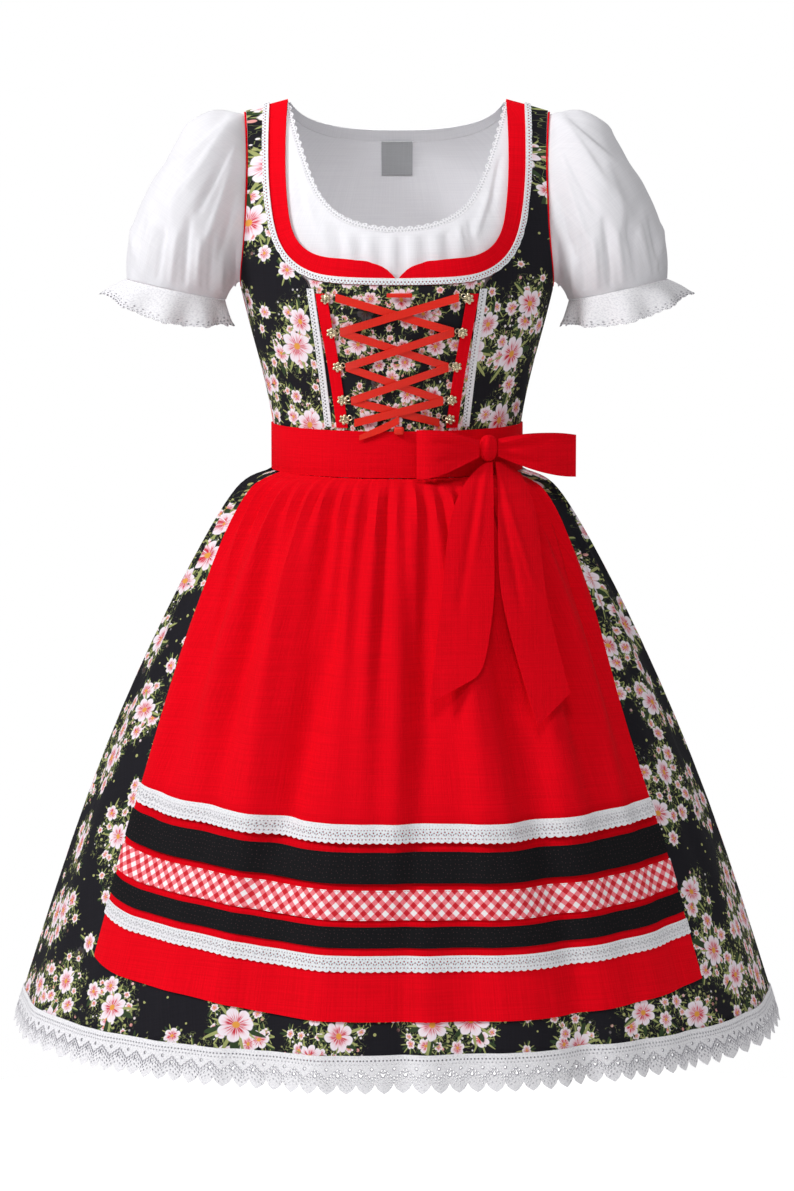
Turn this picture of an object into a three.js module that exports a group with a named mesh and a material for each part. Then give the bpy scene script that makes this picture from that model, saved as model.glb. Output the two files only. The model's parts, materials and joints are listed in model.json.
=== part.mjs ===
import * as THREE from 'three';

// A dirndl set: blouse, dress and apron, filled out as if worn. Sizes are in millimetres.
// +X is the right as seen from the front, -Y the front, +Z up.
// The origin is the middle between the two shoulder seams.

const DEGREE = Math.PI / 180;
const HALF_TURN = Math.PI;
const SEAM_HALF_GAP = 0.18;
const DRESS_CLOTH = 1.5;
const BLOUSE_CLOTH = 1.0;
const TRIM_CLOTH = 1.0;
const APRON_CLOTH = 1.2;
const BLOUSE_DEPTH = 3.3;
const BLOUSE_SLACK = 2.6;
const TRIM_LIFT = 0.76;

// Shoulder line: level out to the strap's inner edge, then sloping to the arm.
const SHOULDER_START = 113;
const SHOULDER_SLOPE = 0.29;
const SHOULDER_BLEND = 10;

// Body sections under the dress: drop below the shoulder line, half width, front and back depth.
const BODY = [
  [0, 185, 0, 0],
  [10, 184.6, 18, 19],
  [30, 184, 33, 36],
  [60, 183, 51, 55],
  [100, 181, 74, 73],
  [150, 174, 99, 86],
  [185, 163.5, 111, 89.5],
  [217, 156.5, 115.5, 89],
  [250, 148.5, 112, 86.5],
  [290, 137.5, 104, 82],
  [322, 131.3, 97.5, 79],
  [340, 129.3, 94.8, 77.6],
  [372, 128.2, 93.5, 77],
  [395, 128.2, 93.5, 77],
];
const BUST = { lift: 9, across: 68, drop: 215, halfBreadth: 42, halfHeight: 48 };

// Front neck band: inner x, inner drop, outer x, outer drop, from the shoulder to the middle.
const NECK_BAND_FRONT = [
  [114, 0, 139.5, 0],
  [114.2, 3, 139.6, 3],
  [114.6, 12, 139.7, 12],
  [115.6, 30, 140, 30],
  [116, 58, 139.6, 62],
  [115.2, 90, 137.6, 94],
  [112, 122, 133, 126],
  [107.5, 141, 126, 151],
  [97, 156, 112, 174],
  [80, 164, 90, 187.5],
  [60, 168, 68, 191.3],
  [42, 172, 48, 192.5],
  [27, 177, 30, 193],
  [13, 184.5, 14, 193.3],
  [0, 189.5, 0, 193.5],
];
const FRONT_SEAM_TOP_ROW = 9;
// Back neck band, the same columns.
const NECK_BAND_BACK = [
  [114, 0, 139.5, 0],
  [113.8, 3, 139.3, 3],
  [112.6, 12, 138.6, 12],
  [107, 27, 134.5, 32],
  [95, 41, 119, 58],
  [79, 50, 97, 73],
  [62, 55.6, 76, 80.5],
  [48, 58.6, 58, 84],
  [32, 60.8, 39, 86],
  [16, 61.8, 19.5, 86.9],
  [0, 62, 0, 87],
];
const BACK_SEAM_TOP_ROW = 7;
// Armhole of the dress: angle round the body from the side's front or back, and drop.
const ARMHOLE = [
  [58.66, 0],
  [58.2, 3],
  [57.9, 12],
  [57.6, 30],
  [57.6, 60],
  [59.1, 92],
  [61.4, 120],
  [65.8, 145],
  [73, 165],
  [81, 178],
  [90, 184.5],
];
const ARMHOLE_LAST = ARMHOLE.length - 1;
const BLOUSE_ARMHOLE_RISE = 3.5;
// Place outside the armhole that its edge faces, and the width of the sleeve's seam row.
const ARM_MIDDLE = new THREE.Vector3(175, 0, -100);
const SLEEVE_SEAM_WIDTH = 2.4;
const SIDE_SEAM_PASSES = 5;
const SIDE_SEAM_HEIGHTS = [-235, -285, -338, -372];
// Front and back princess seams: half width and height.
const FRONT_SEAM = [[85.2, -217], [80, -252], [75.2, -292], [70.2, -338], [68.6, -372]];
const BACK_SEAM = [
  [54, -112], [50, -140], [47, -166], [45.5, -192], [44, -235], [42, -285], [40.5, -338], [40, -372],
];
const PANEL_COLUMNS = 6;

// Blouse neck edge, front and back: x and drop of the trim's free edge, x and drop of the cloth's edge.
const BLOUSE_NECK_FRONT = [
  [112, 0, 118.3, 0],
  [111.2, 3, 117.6, 3],
  [109, 12, 115.4, 12.5],
  [104, 30, 110.2, 31.5],
  [91.5, 71, 97.8, 73],
  [79.5, 101, 84.8, 105],
  [60, 120, 63, 126],
  [32, 130, 33, 136.3],
  [0, 133, 0, 139.3],
];
const BLOUSE_NECK_BACK = [
  [112, 0, 118.3, 0],
  [110.6, 3, 117, 4],
  [106, 9, 112.4, 13],
  [98, 16, 103, 24],
  [84, 22, 88, 32],
  [64, 26.5, 67, 38],
  [42, 29, 44, 41],
  [20, 30, 21, 42.3],
  [0, 30, 0, 42.3],
];
const BLOUSE_FRONT_MIDDLE = [-155, -172, -190, -209, -228];
const BLOUSE_BACK_MIDDLE = [-75, -115, -152, -190, -228];
const BLOUSE_SIDE_HEIGHTS = [-203, -215, -228];
const BLOUSE_COLUMNS = 6;

// Right sleeve rings: top x and z, underarm x and z, half depth, gather height.
const SLEEVE_RINGS = [
  [170, -12.5, 167.5, -192.5, 44, 1.2],
  [196, -14, 169, -194, 54, 2.6],
  [226, -34, 170.8, -195, 64, 2.4],
  [252, -76, 173, -198, 68, 1.8],
  [274, -118, 175.8, -202, 67, 1.8],
  [285, -160, 178.4, -206.4, 60, 2.4],
  [284, -187.5, 180, -210, 52, 1.4],
];
const SLEEVE_COLUMNS = 2 * ARMHOLE_LAST;
// Cuff frill rings: outer x and z, inner x and z, half depth, wave height, droop, scallop depth.
const FRILL_RINGS = [
  [284.1, -188, 180.1, -210.5, 52.5, 0.4, 0, 0],
  [297, -194, 177.5, -222, 58, 3, 6.5, 0],
  [308, -201, 174.5, -233, 64, 5.6, 14, 3.2],
];
const FRILL_COLUMNS = 36;
const FRILL_WAVES = 9;

// Skirt sections: height, half width, front depth, back depth, tilt of the surface in degrees.
const SKIRT = [
  [-948, 401, 325, 331, 17],
  [-900, 389, 315, 320, 17],
  [-800, 356, 286, 292, 19],
  [-740, 334.5, 265, 271, 21],
  [-700, 319, 252, 258, 23],
  [-600, 274, 212, 218, 26],
  [-560, 255, 195, 200, 28],
  [-500, 223, 168, 168, 30],
  [-460, 201, 148, 148, 33],
  [-412, 171, 124, 119, 45],
  [-395, 154, 110, 104, 50],
  [-387, 129.3, 94.6, 78.3, 8],
  [-374, 128.2, 93.6, 77.2, 0],
];
// Skirt rows: height, gather height, share of the large folds, dip at the front middle.
const SKIRT_ROWS = [
  [-374, 0.3, 0, 5],
  [-387, 0.8, 0, 5],
  [-395, 2.2, 0, 5],
  [-412, 3.4, 0.1, 5],
  [-460, 3, 0.45, 2.5],
  [-560, 1.6, 1, 0],
  [-735, 0.9, 1, 0],
  [-948, 0.4, 0.7, 0],
];
const FREE_ROW = 6;
const FRONT_COLUMNS = 56;
const BACK_COLUMNS = 48;
const SIDE_COLUMNS = 7;
// Large folds of the front and the back: column, depth, half breadth in columns.
const FRONT_FOLDS = [
  [2, 7, 1.1], [6, 5, 1], [12, 5, 1.4], [16, 5, 1.3], [21, 9, 1.5], [28, 5, 1.5],
  [32, 10, 1.6], [39, 8, 1.5], [43, 6, 1.2], [47, 6, 1.1], [51, 5, 1], [54, 7, 1.1],
];
const BACK_FOLDS = [
  [3, 7, 1.2], [8, 9, 1.5], [13, 6, 1.3], [18, 8, 1.4], [22, 5, 1.2], [27, 9, 1.6],
  [32, 6, 1.2], [36, 8, 1.5], [41, 5, 1.2], [45, 8, 1.2],
];
// Apron's side edges on the skirt: height, left angle, right angle.
const APRON_EDGE = [
  [-948, 55, 54],
  [-820, 54.3, 53],
  [-690, 56, 53.5],
  [-570, 60.5, 57.5],
  [-480, 66, 65],
  [-425, 69, 69],
  [-387, 68, 68],
];
// Apron hem: share of the breadth from the left, height.
const APRON_HEM = [
  [0, -874], [0.06, -886], [0.2, -896], [0.36, -908.5], [0.5, -911], [0.74, -911.5], [0.92, -903], [1, -895],
];
const APRON_TOP = -387;
const APRON_FREE_SHARE = 0.687;
const APRON_LIFT = 2.2;
const BAND_LIFT = 3.8;
// Bands sewn on the apron: name, share of the apron's length at the top and at the foot, finish.
const APRON_BANDS = [
  ['apron_lace_upper', 0.645, 0.68, 'lace'],
  ['apron_band_black_upper', 0.695, 0.752, 'blackBand'],
  ['apron_band_gingham', 0.764, 0.818, 'gingham'],
  ['apron_band_black_lower', 0.83, 0.868, 'blackBand'],
  ['apron_lace_lower', 0.882, 0.912, 'lace'],
];
const HEM_LACE = { top: -942, notch: -969, tip: -978, pitch: 22, lift: 1.6 };

// Waistband and the tie behind it.
const WAIST = {
  top: -338,
  foot: -386,
  dip: 5,
  halfWidth: 133,
  front: 98,
  back: 82.6,
  cloth: 2,
  end: 78 * DEGREE,
  frontColumns: 22,
  backColumns: 26,
};

// Bow: stations of the loops as x, y of the front leaf, y of the back leaf, middle z, half height.
const BOW_KNOT = {
  x: 94.3,
  y: -78.2,
  z: -361,
  across: 11.5,
  through: 8,
  high: 15,
  turn: 33.9 * DEGREE,
  taper: 0.7,
  rings: 5,
  sides: 10,
};
const LOOP_ROWS = [-1, -0.5, 0, 0.5, 1];
const LOOP_LEFT = [
  [84.6, -90.5, -85.1, -361, 9],
  [68, -101, -92.5, -362, 15],
  [50, -110, -98, -364, 22],
  [32, -113, -101.5, -366, 25],
  [20, -107.5, -107.5, -366, 25],
];
const LOOP_RIGHT = [
  [104.6, -75, -68.9, -361, 9],
  [124, -73, -57, -363, 15],
  [148, -64, -45, -367, 20],
  [172, -52, -36, -370, 22.5],
  [187, -38.5, -38.5, -371.5, 22],
];
// Tails: left x and z, right x and z, lift off the skirt.
const TAIL_LEFT = [
  [86, -377.5, 93.5, -376.6, 9.5],
  [71, -392, 97, -396, 7],
  [54, -424, 96.5, -424, 8],
  [48, -466, 96.5, -466, 8],
  [44.5, -510, 97, -510, 8],
  [38, -560, 91, -552, 8],
  [32, -611, 84, -584, 9],
];
const TAIL_RIGHT = [
  [97, -376.6, 105, -377.5, 8],
  [100.5, -392, 124, -392, 7],
  [101, -424, 139, -422, 8],
  [100.5, -466, 144, -466, 8],
  [102, -511, 147, -511, 9],
  [117, -566, 158, -556, 8],
  [138, -636, 171, -607, 9],
];
const RIBBON_CLOTH = 1.2;
const TAIL_COLUMNS = 4;

// Front lacing: half width of each turn and its height; the ribbon's half height on the slant.
const LACING_TURNS = [[62, -206], [57.5, -240], [52, -276], [46.5, -311], [43, -334]];
const LACING = { halfHeight: 4.1, low: 2.4, high: 4, cloth: 1, midway: 24 };
const LACING_TAIL = [[2, -331, 4], [-12, -338.5, 4], [-26, -344.5, 3.6], [-38, -349.5, 2.6]];
const LACING_TAIL_LIFT = 3.6;
// Hooks: half width and height; strips they are sewn to: half width and height.
const HOOKS = [[72.5, -207], [66.5, -241.5], [60.5, -276.5], [56, -311], [54, -331]];
const HOOK = { radius: 6, crown: 4, height: 2.4, lift: 2.3, sides: 9 };
const HOOK_STRIP = [
  [76.8, -202], [74.3, -218], [71.5, -235], [68.4, -252],
  [65.4, -270], [62, -292], [58.8, -315], [56, -339.5],
];
const HOOK_STRIP_HALF = 5.75;
const BRAID_WIDTH = 7;
const SEAM_BRAID = [[88, -197], [84.4, -222], [80, -252], [75.2, -292], [70.2, -338.5]];
const PIPING = { radius: 1.1, out: 1.35, sides: 5 };
const LABEL = { halfWidth: 16.5, top: -40, foot: -76, depth: 7.4 };

const FINISHES = {
  floral: { color: 0x24242a, roughness: 0.85 },
  red: { color: 0xc40d1e, roughness: 0.8 },
  white: { color: 0xf1f0f2, roughness: 0.9 },
  lace: { color: 0xe9e8ea, roughness: 0.9 },
  blackBand: { color: 0x17171b, roughness: 0.85 },
  gingham: { color: 0xe04a52, roughness: 0.85 },
  satin: { color: 0xe33a24, roughness: 0.45 },
  hook: { color: 0x9a8f6a, roughness: 0.35, metalness: 0.9 },
  label: { color: 0xc9c7c8, roughness: 0.8 },
};

const group = new THREE.Group();
group.name = 'dirndl_set';

/** Value of one column of a table at a key, on a smooth curve through its rows. */
function curve(table, column, key) {
  const rising = table[1][0] > table[0][0];
  const last = table.length - 1;
  let row = 0;
  while (row < last - 1 && (rising ? key > table[row + 1][0] : key < table[row + 1][0])) {
    row += 1;
  }
  const slope = (index) => {
    const before = table[Math.max(0, index - 1)];
    const after = table[Math.min(last, index + 1)];
    return (after[column] - before[column]) / (after[0] - before[0]);
  };
  const start = table[row];
  const end = table[row + 1];
  const span = end[0] - start[0];
  const share = THREE.MathUtils.clamp((key - start[0]) / span, 0, 1);
  const square = share * share;
  const cube = square * share;
  const ends = (2 * cube - 3 * square + 1) * start[column] + (3 * square - 2 * cube) * end[column];
  return ends + (cube - 2 * square + share) * span * slope(row) + (cube - square) * span * slope(row + 1);
}

/** The same table keyed by the square root of its first column. */
function keyedByRoot(table) {
  return table.map(([key, ...rest]) => [Math.sqrt(key), ...rest]);
}

const BODY_BY_ROOT = keyedByRoot(BODY);

/** Height of the shoulder line at a half width. */
function shoulderLine(x) {
  const past = Math.abs(x) - SHOULDER_START;
  if (past < -SHOULDER_BLEND) {
    return 0;
  }
  const eased = past > SHOULDER_BLEND ? past : (past + SHOULDER_BLEND) ** 2 / (4 * SHOULDER_BLEND);
  return -SHOULDER_SLOPE * eased;
}

/** Point of the body surface at an angle from the front middle and a root of drop. */
function bodyPoint(angle, root) {
  const across = curve(BODY_BY_ROOT, 1, root) * Math.sin(angle);
  const facing = Math.cos(angle);
  const depth = curve(BODY_BY_ROOT, facing >= 0 ? 2 : 3, root);
  const side = (Math.abs(across) - BUST.across) / BUST.halfBreadth;
  const level = (root * root - BUST.drop) / BUST.halfHeight;
  const fullness = BUST.lift * Math.exp(-side * side - level * level) * Math.max(0, facing);
  return new THREE.Vector3(across, -depth * facing - fullness, shoulderLine(across) - root * root);
}

/** Outward normal of the body surface. */
function bodyNormal(angle, root) {
  const step = 0.01;
  const upper = Math.max(0, root - step);
  const round = bodyPoint(angle + step, root).sub(bodyPoint(angle - step, root));
  const down = bodyPoint(angle, root + step).sub(bodyPoint(angle, upper));
  return down.cross(round).normalize();
}

/** Surface spot from a half width and a drop below the shoulder line. */
function spotAtDrop(x, drop, back) {
  const root = Math.sqrt(drop);
  const angle = Math.asin(THREE.MathUtils.clamp(x / curve(BODY_BY_ROOT, 1, root), -1, 1));
  return { angle: back ? HALF_TURN - angle : angle, root };
}

/** Surface spot from a half width and a height. */
function spotAtHeight(x, z, back) {
  return spotAtDrop(x, shoulderLine(x) - z, back);
}

/** Surface spot on the side seam at a height. */
function sideSpot(z, angle = HALF_TURN / 2) {
  let root = Math.sqrt(-z);
  for (let pass = 0; pass < SIDE_SEAM_PASSES; pass += 1) {
    root = Math.sqrt(shoulderLine(curve(BODY_BY_ROOT, 1, root)) - z);
  }
  return { angle, root };
}

/** Spot between two others. */
function between(start, end, share) {
  return {
    angle: THREE.MathUtils.lerp(start.angle, end.angle, share),
    root: THREE.MathUtils.lerp(start.root, end.root, share),
  };
}

/** The same spot on the other side of the body. */
function mirrored(spot) {
  return spot.angle > HALF_TURN / 2 + 1e-6
    ? { angle: 2 * HALF_TURN - spot.angle, root: spot.root }
    : { angle: -spot.angle, root: spot.root };
}

/** Point and normal of a spot, lifted off the body surface. */
function lifted(spot, lift) {
  const normal = bodyNormal(spot.angle, spot.root);
  return { point: bodyPoint(spot.angle, spot.root).addScaledVector(normal, lift), normal };
}

/** Grid of spots between an inner and an outer line, row by row. */
function fan(inner, outer, columns) {
  return inner.map((start, row) => {
    const cells = [];
    for (let column = 0; column <= columns; column += 1) {
      cells.push(between(start, outer[row], column / columns));
    }
    return cells;
  });
}

/** Surface grid from a grid of spots. */
function clothOn(spots, lift) {
  return spots.map((row) => row.map((spot) => lifted(spot, lift)));
}

/** Moves the named edges of a grid inward along the cloth by a distance. */
function drawnIn(grid, edges, distance = SEAM_HALF_GAP) {
  const shift = (cell, neighbour) => {
    const length = cell.point.distanceTo(neighbour.point);
    const share = Math.min(0.5, distance / length);
    return {
      point: cell.point.clone().lerp(neighbour.point, share),
      normal: cell.normal.clone().lerp(neighbour.normal, share).normalize(),
    };
  };
  let result = grid.map((row) => [...row]);
  const lastRow = grid.length - 1;
  const lastColumn = grid[0].length - 1;
  if (edges.includes('start')) {
    result = result.map((row) => [shift(row[0], row[1]), ...row.slice(1)]);
  }
  if (edges.includes('end')) {
    result = result.map((row) => [...row.slice(0, lastColumn), shift(row[lastColumn], row[lastColumn - 1])]);
  }
  if (edges.includes('top')) {
    result[0] = result[0].map((cell, column) => shift(cell, result[1][column]));
  }
  if (edges.includes('foot')) {
    result[lastRow] = result[lastRow].map((cell, column) => shift(cell, result[lastRow - 1][column]));
  }
  return result;
}

/** A grid reflected to the other side of the body. */
function otherSide(grid) {
  const flip = (vector) => new THREE.Vector3(-vector.x, vector.y, vector.z);
  return grid.map((row) => row.map(({ point, normal }) => ({ point: flip(point), normal: flip(normal) })));
}

/** Points of a free-form grid with normals taken from the grid itself. */
function shaped(points, closed = false) {
  const rows = points.length;
  const columns = points[0].length;
  const at = (row, column) => {
    const held = THREE.MathUtils.clamp(column, 0, columns - 1);
    const wrapped = closed ? (column + columns - 1) % (columns - 1) : held;
    return points[THREE.MathUtils.clamp(row, 0, rows - 1)][wrapped];
  };
  return points.map((line, row) => line.map((point, column) => {
    const along = at(row, column + 1).clone().sub(at(row, column - 1));
    const down = at(row + 1, column).clone().sub(at(row - 1, column));
    return { point, normal: down.cross(along).normalize() };
  }));
}

/** Closed mesh from vertices and faces, turned to face outward, added to the group. */
function addBody(name, vertices, faces, finish) {
  let volume = 0;
  for (const [a, b, c] of faces) {
    volume += vertices[a].dot(vertices[b].clone().cross(vertices[c]));
  }
  const outward = volume > 0 ? faces : faces.map(([a, b, c]) => [a, c, b]);
  const geometry = new THREE.BufferGeometry();
  const positions = vertices.flatMap((vertex) => [vertex.x, vertex.y, vertex.z]);
  geometry.setAttribute('position', new THREE.Float32BufferAttribute(positions, 3));
  geometry.setIndex(outward.flat());
  geometry.computeVertexNormals();
  const material = new THREE.MeshStandardMaterial({ metalness: 0, ...FINISHES[finish] });
  const mesh = new THREE.Mesh(geometry, material);
  mesh.name = name;
  group.add(mesh);
}

/** Wall of cloth from one or more grids that share edge points; the grids are its outer face. */
function addWall(name, grids, thickness, finish) {
  const outer = [];
  const inner = [];
  const numbers = new Map();
  const numberOf = ({ point, normal }) => {
    const key = [point.x, point.y, point.z].map((value) => Math.round(value * 1000)).join(' ');
    if (!numbers.has(key)) {
      numbers.set(key, outer.length);
      outer.push(point);
      inner.push(point.clone().addScaledVector(normal, -thickness));
    }
    return numbers.get(key);
  };
  const faces = [];
  const addFace = (a, b, c) => {
    if (a !== b && b !== c && c !== a) {
      faces.push([a, b, c]);
    }
  };
  grids.forEach((grid, index) => {
    const cells = grid.map((row) => row.map(numberOf));
    const turned = index % 2 === 1;
    for (let row = 0; row < cells.length - 1; row += 1) {
      for (let column = 0; column < cells[row].length - 1; column += 1) {
        const near = turned ? column + 1 : column;
        const far = turned ? column : column + 1;
        const corners = [cells[row][near], cells[row + 1][near], cells[row + 1][far], cells[row][far]];
        addFace(corners[0], corners[1], corners[2]);
        addFace(corners[0], corners[2], corners[3]);
      }
    }
  });
  const count = outer.length;
  const directed = new Set(faces.flatMap(([a, b, c]) => [`${a} ${b}`, `${b} ${c}`, `${c} ${a}`]));
  const rims = [];
  for (const [a, b, c] of faces) {
    for (const [from, to] of [[a, b], [b, c], [c, a]]) {
      if (!directed.has(`${to} ${from}`)) {
        rims.push([from, from + count, to + count], [from, to + count, to]);
      }
    }
  }
  const inside = faces.map(([a, b, c]) => [a + count, c + count, b + count]);
  addBody(name, [...outer, ...inner], [...faces, ...inside, ...rims], finish);
}

/** Spots of one edge of a neck table: 0 for the inner edge, 1 for the outer. */
function neckEdge(table, edge, back) {
  return table.map((row) => spotAtDrop(row[2 * edge], row[2 * edge + 1], back));
}

/** Spots of an armhole edge; rise lifts its lowest part. */
function armholeEdge(back, rise = 0) {
  return ARMHOLE.map(([degrees, drop], index) => {
    const lift = rise * (index / ARMHOLE_LAST) ** 3;
    const angle = degrees * DEGREE;
    return { angle: back ? HALF_TURN - angle : angle, root: Math.sqrt(drop - lift) };
  });
}

/** One full neck trim across the body from its half table. */
function neckTrim(inner, outer, lift, edges) {
  const right = fan(inner, outer, 1);
  const left = right.slice(0, -1).map((row) => row.map(mirrored));
  return drawnIn(clothOn([...right, ...left.reverse()], lift), edges);
}

/** Spots moved away from an edge along the body surface, square to it. */
function besideEdge(edge, distance) {
  return edge.map((spot, index) => {
    const before = lifted(edge[Math.max(0, index - 1)], 0).point;
    const after = lifted(edge[Math.min(edge.length - 1, index + 1)], 0).point;
    const { point, normal } = lifted(spot, 0);
    const away = after.sub(before).cross(normal).normalize();
    const target = point.clone().addScaledVector(away, distance);
    if (index === 0) {
      return spotAtDrop(target.x, 0, Math.cos(spot.angle) < 0);
    }
    return spotAtHeight(target.x, target.z, Math.cos(spot.angle) < 0);
  });
}

const bandOuterFront = neckEdge(NECK_BAND_FRONT, 1, false);
const bandOuterBack = neckEdge(NECK_BAND_BACK, 1, true);
const frontSeam = FRONT_SEAM.map(([x, z]) => spotAtHeight(x, z, false));
const backSeam = BACK_SEAM.map(([x, z]) => spotAtHeight(x, z, true));
const sideSeam = SIDE_SEAM_HEIGHTS.map((z) => sideSpot(z));

/** Dress bodice: neck bands, middle and side panels. */
function addBodice() {
  const frontBand = neckTrim(neckEdge(NECK_BAND_FRONT, 0, false), bandOuterFront, 0, ['end', 'top', 'foot']);
  const backBand = neckTrim(neckEdge(NECK_BAND_BACK, 0, true), bandOuterBack, 0, ['end', 'top', 'foot']);
  addWall('neck_band_front', [frontBand], DRESS_CLOTH, 'red');
  addWall('neck_band_back', [backBand], DRESS_CLOTH, 'red');
  addMiddlePanel('bodice_centre_front', bandOuterFront.slice(FRONT_SEAM_TOP_ROW), frontSeam);
  addMiddlePanel('bodice_centre_back', bandOuterBack.slice(BACK_SEAM_TOP_ROW), backSeam);
  const armFront = [...armholeEdge(false), ...sideSeam];
  const armBack = [...armholeEdge(true), ...sideSeam];
  const seamFront = [...bandOuterFront.slice(0, FRONT_SEAM_TOP_ROW + 1), ...frontSeam];
  const seamBack = [...bandOuterBack.slice(0, BACK_SEAM_TOP_ROW + 1), ...backSeam.slice(1)];
  const edges = ['start', 'end', 'top'];
  const sideFront = drawnIn(clothOn(fan(seamFront, armFront, PANEL_COLUMNS), 0), edges);
  const sideBack = drawnIn(clothOn(fan(seamBack, armBack, PANEL_COLUMNS), 0), edges);
  addWall('bodice_side_front_right', [sideFront], DRESS_CLOTH, 'floral');
  addWall('bodice_side_front_left', [otherSide(sideFront)], DRESS_CLOTH, 'floral');
  addWall('bodice_side_back_right', [sideBack], DRESS_CLOTH, 'floral');
  addWall('bodice_side_back_left', [otherSide(sideBack)], DRESS_CLOTH, 'floral');
}

/** Panel between the two princess seams, its top on the neck band's lower edge. */
function addMiddlePanel(name, topEdge, seam) {
  const half = [topEdge, ...seam.map((foot, row) => topEdge.map((top, column) => {
    const reach = (row + 1) / seam.length;
    const topPoint = bodyPoint(top.angle, top.root);
    const footPoint = bodyPoint(foot.angle, foot.root);
    const seamTop = bodyPoint(topEdge[0].angle, topEdge[0].root);
    const share = topPoint.x / seamTop.x;
    const drop = THREE.MathUtils.lerp(topPoint.z - seamTop.z, 0, reach);
    return spotAtHeight(share * footPoint.x, footPoint.z + drop, Math.cos(top.angle) < 0);
  }))];
  const full = half.map((row) => [...row, ...row.slice(0, -1).reverse().map(mirrored)]);
  addWall(name, [drawnIn(clothOn(full, 0), ['start', 'end', 'top'])], DRESS_CLOTH, 'floral');
}

/** Trims sewn on the bodice. */
function addBodiceTrims() {
  const lift = TRIM_LIFT + TRIM_CLOTH;
  const braids = [
    ['neck_braid_front', bandOuterFront, BRAID_WIDTH],
    ['neck_braid_back', bandOuterBack, -BRAID_WIDTH],
  ];
  for (const [name, edge, width] of braids) {
    const strip = neckTrim(edge, besideEdge(edge, width), lift, ['top', 'foot']);
    addWall(name, [strip], TRIM_CLOTH, 'lace');
  }
  addPair('seam_braid', upright(SEAM_BRAID, BRAID_WIDTH / 2, lift), 'lace');
  addPair('hook_strip', upright(HOOK_STRIP, HOOK_STRIP_HALF, lift), 'red');
}

/** Strip of cloth running down the front about a line of half widths and heights. */
function upright(line, halfBreadth, lift) {
  const sides = [-halfBreadth, halfBreadth];
  return clothOn(line.map(([x, z]) => sides.map((side) => spotAtHeight(x + side, z, false))), lift);
}

/** Right piece and its mirror image. */
function addPair(name, grid, finish, thickness = TRIM_CLOTH) {
  addWall(`${name}_right`, [grid], thickness, finish);
  addWall(`${name}_left`, [otherSide(grid)], thickness, finish);
}

/** Ring of cells round the armhole edge, each with its direction out along the surface. */
function armholeSides(rise, lift) {
  const front = armholeEdge(false, rise);
  const back = armholeEdge(true, rise);
  const ring = [...front, ...back.slice(1, -1).reverse()];
  const cells = ring.map((spot) => lifted(spot, lift));
  return cells.map((cell, index) => {
    const before = cells[(index + ring.length - 1) % ring.length].point;
    const after = cells[(index + 1) % ring.length].point;
    const out = after.clone().sub(before).cross(cell.normal).normalize().negate();
    if (out.dot(ARM_MIDDLE.clone().sub(cell.point)) < 0) {
      out.negate();
    }
    return { ...cell, out };
  });
}

/** Round piping along both armhole edges of the dress. */
function addPiping() {
  const ring = armholeSides(0, -DRESS_CLOTH / 2);
  const grid = [...ring, ring[0]].map(({ point, normal, out }) => {
    const centre = point.clone().addScaledVector(out, PIPING.out);
    const cells = [];
    for (let side = 0; side <= PIPING.sides; side += 1) {
      const turn = (2 * Math.PI * side) / PIPING.sides;
      const offset = normal.clone().multiplyScalar(Math.cos(turn)).addScaledVector(out, Math.sin(turn));
      cells.push(centre.clone().addScaledVector(offset, PIPING.radius));
    }
    return cells;
  });
  addRound('armhole_piping_right', grid, 'red');
  const flip = (point) => new THREE.Vector3(-point.x, point.y, point.z);
  addRound('armhole_piping_left', grid.map((row) => row.map(flip)), 'red');
}

/** Solid bounded by one closed grid of points. */
function addRound(name, grid, finish) {
  const vertices = [];
  const numbers = new Map();
  const cells = grid.map((row) => row.map((point) => {
    const key = [point.x, point.y, point.z].map((value) => Math.round(value * 1000)).join(' ');
    if (!numbers.has(key)) {
      numbers.set(key, vertices.length);
      vertices.push(point);
    }
    return numbers.get(key);
  }));
  const faces = [];
  for (let row = 0; row < cells.length - 1; row += 1) {
    for (let column = 0; column < cells[row].length - 1; column += 1) {
      const [a, b] = [cells[row][column], cells[row + 1][column]];
      const [c, d] = [cells[row + 1][column + 1], cells[row][column + 1]];
      faces.push(...[[a, b, c], [a, c, d]].filter(([p, q, r]) => p !== q && q !== r && r !== p));
    }
  }
  addBody(name, vertices, faces, finish);
}

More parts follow.
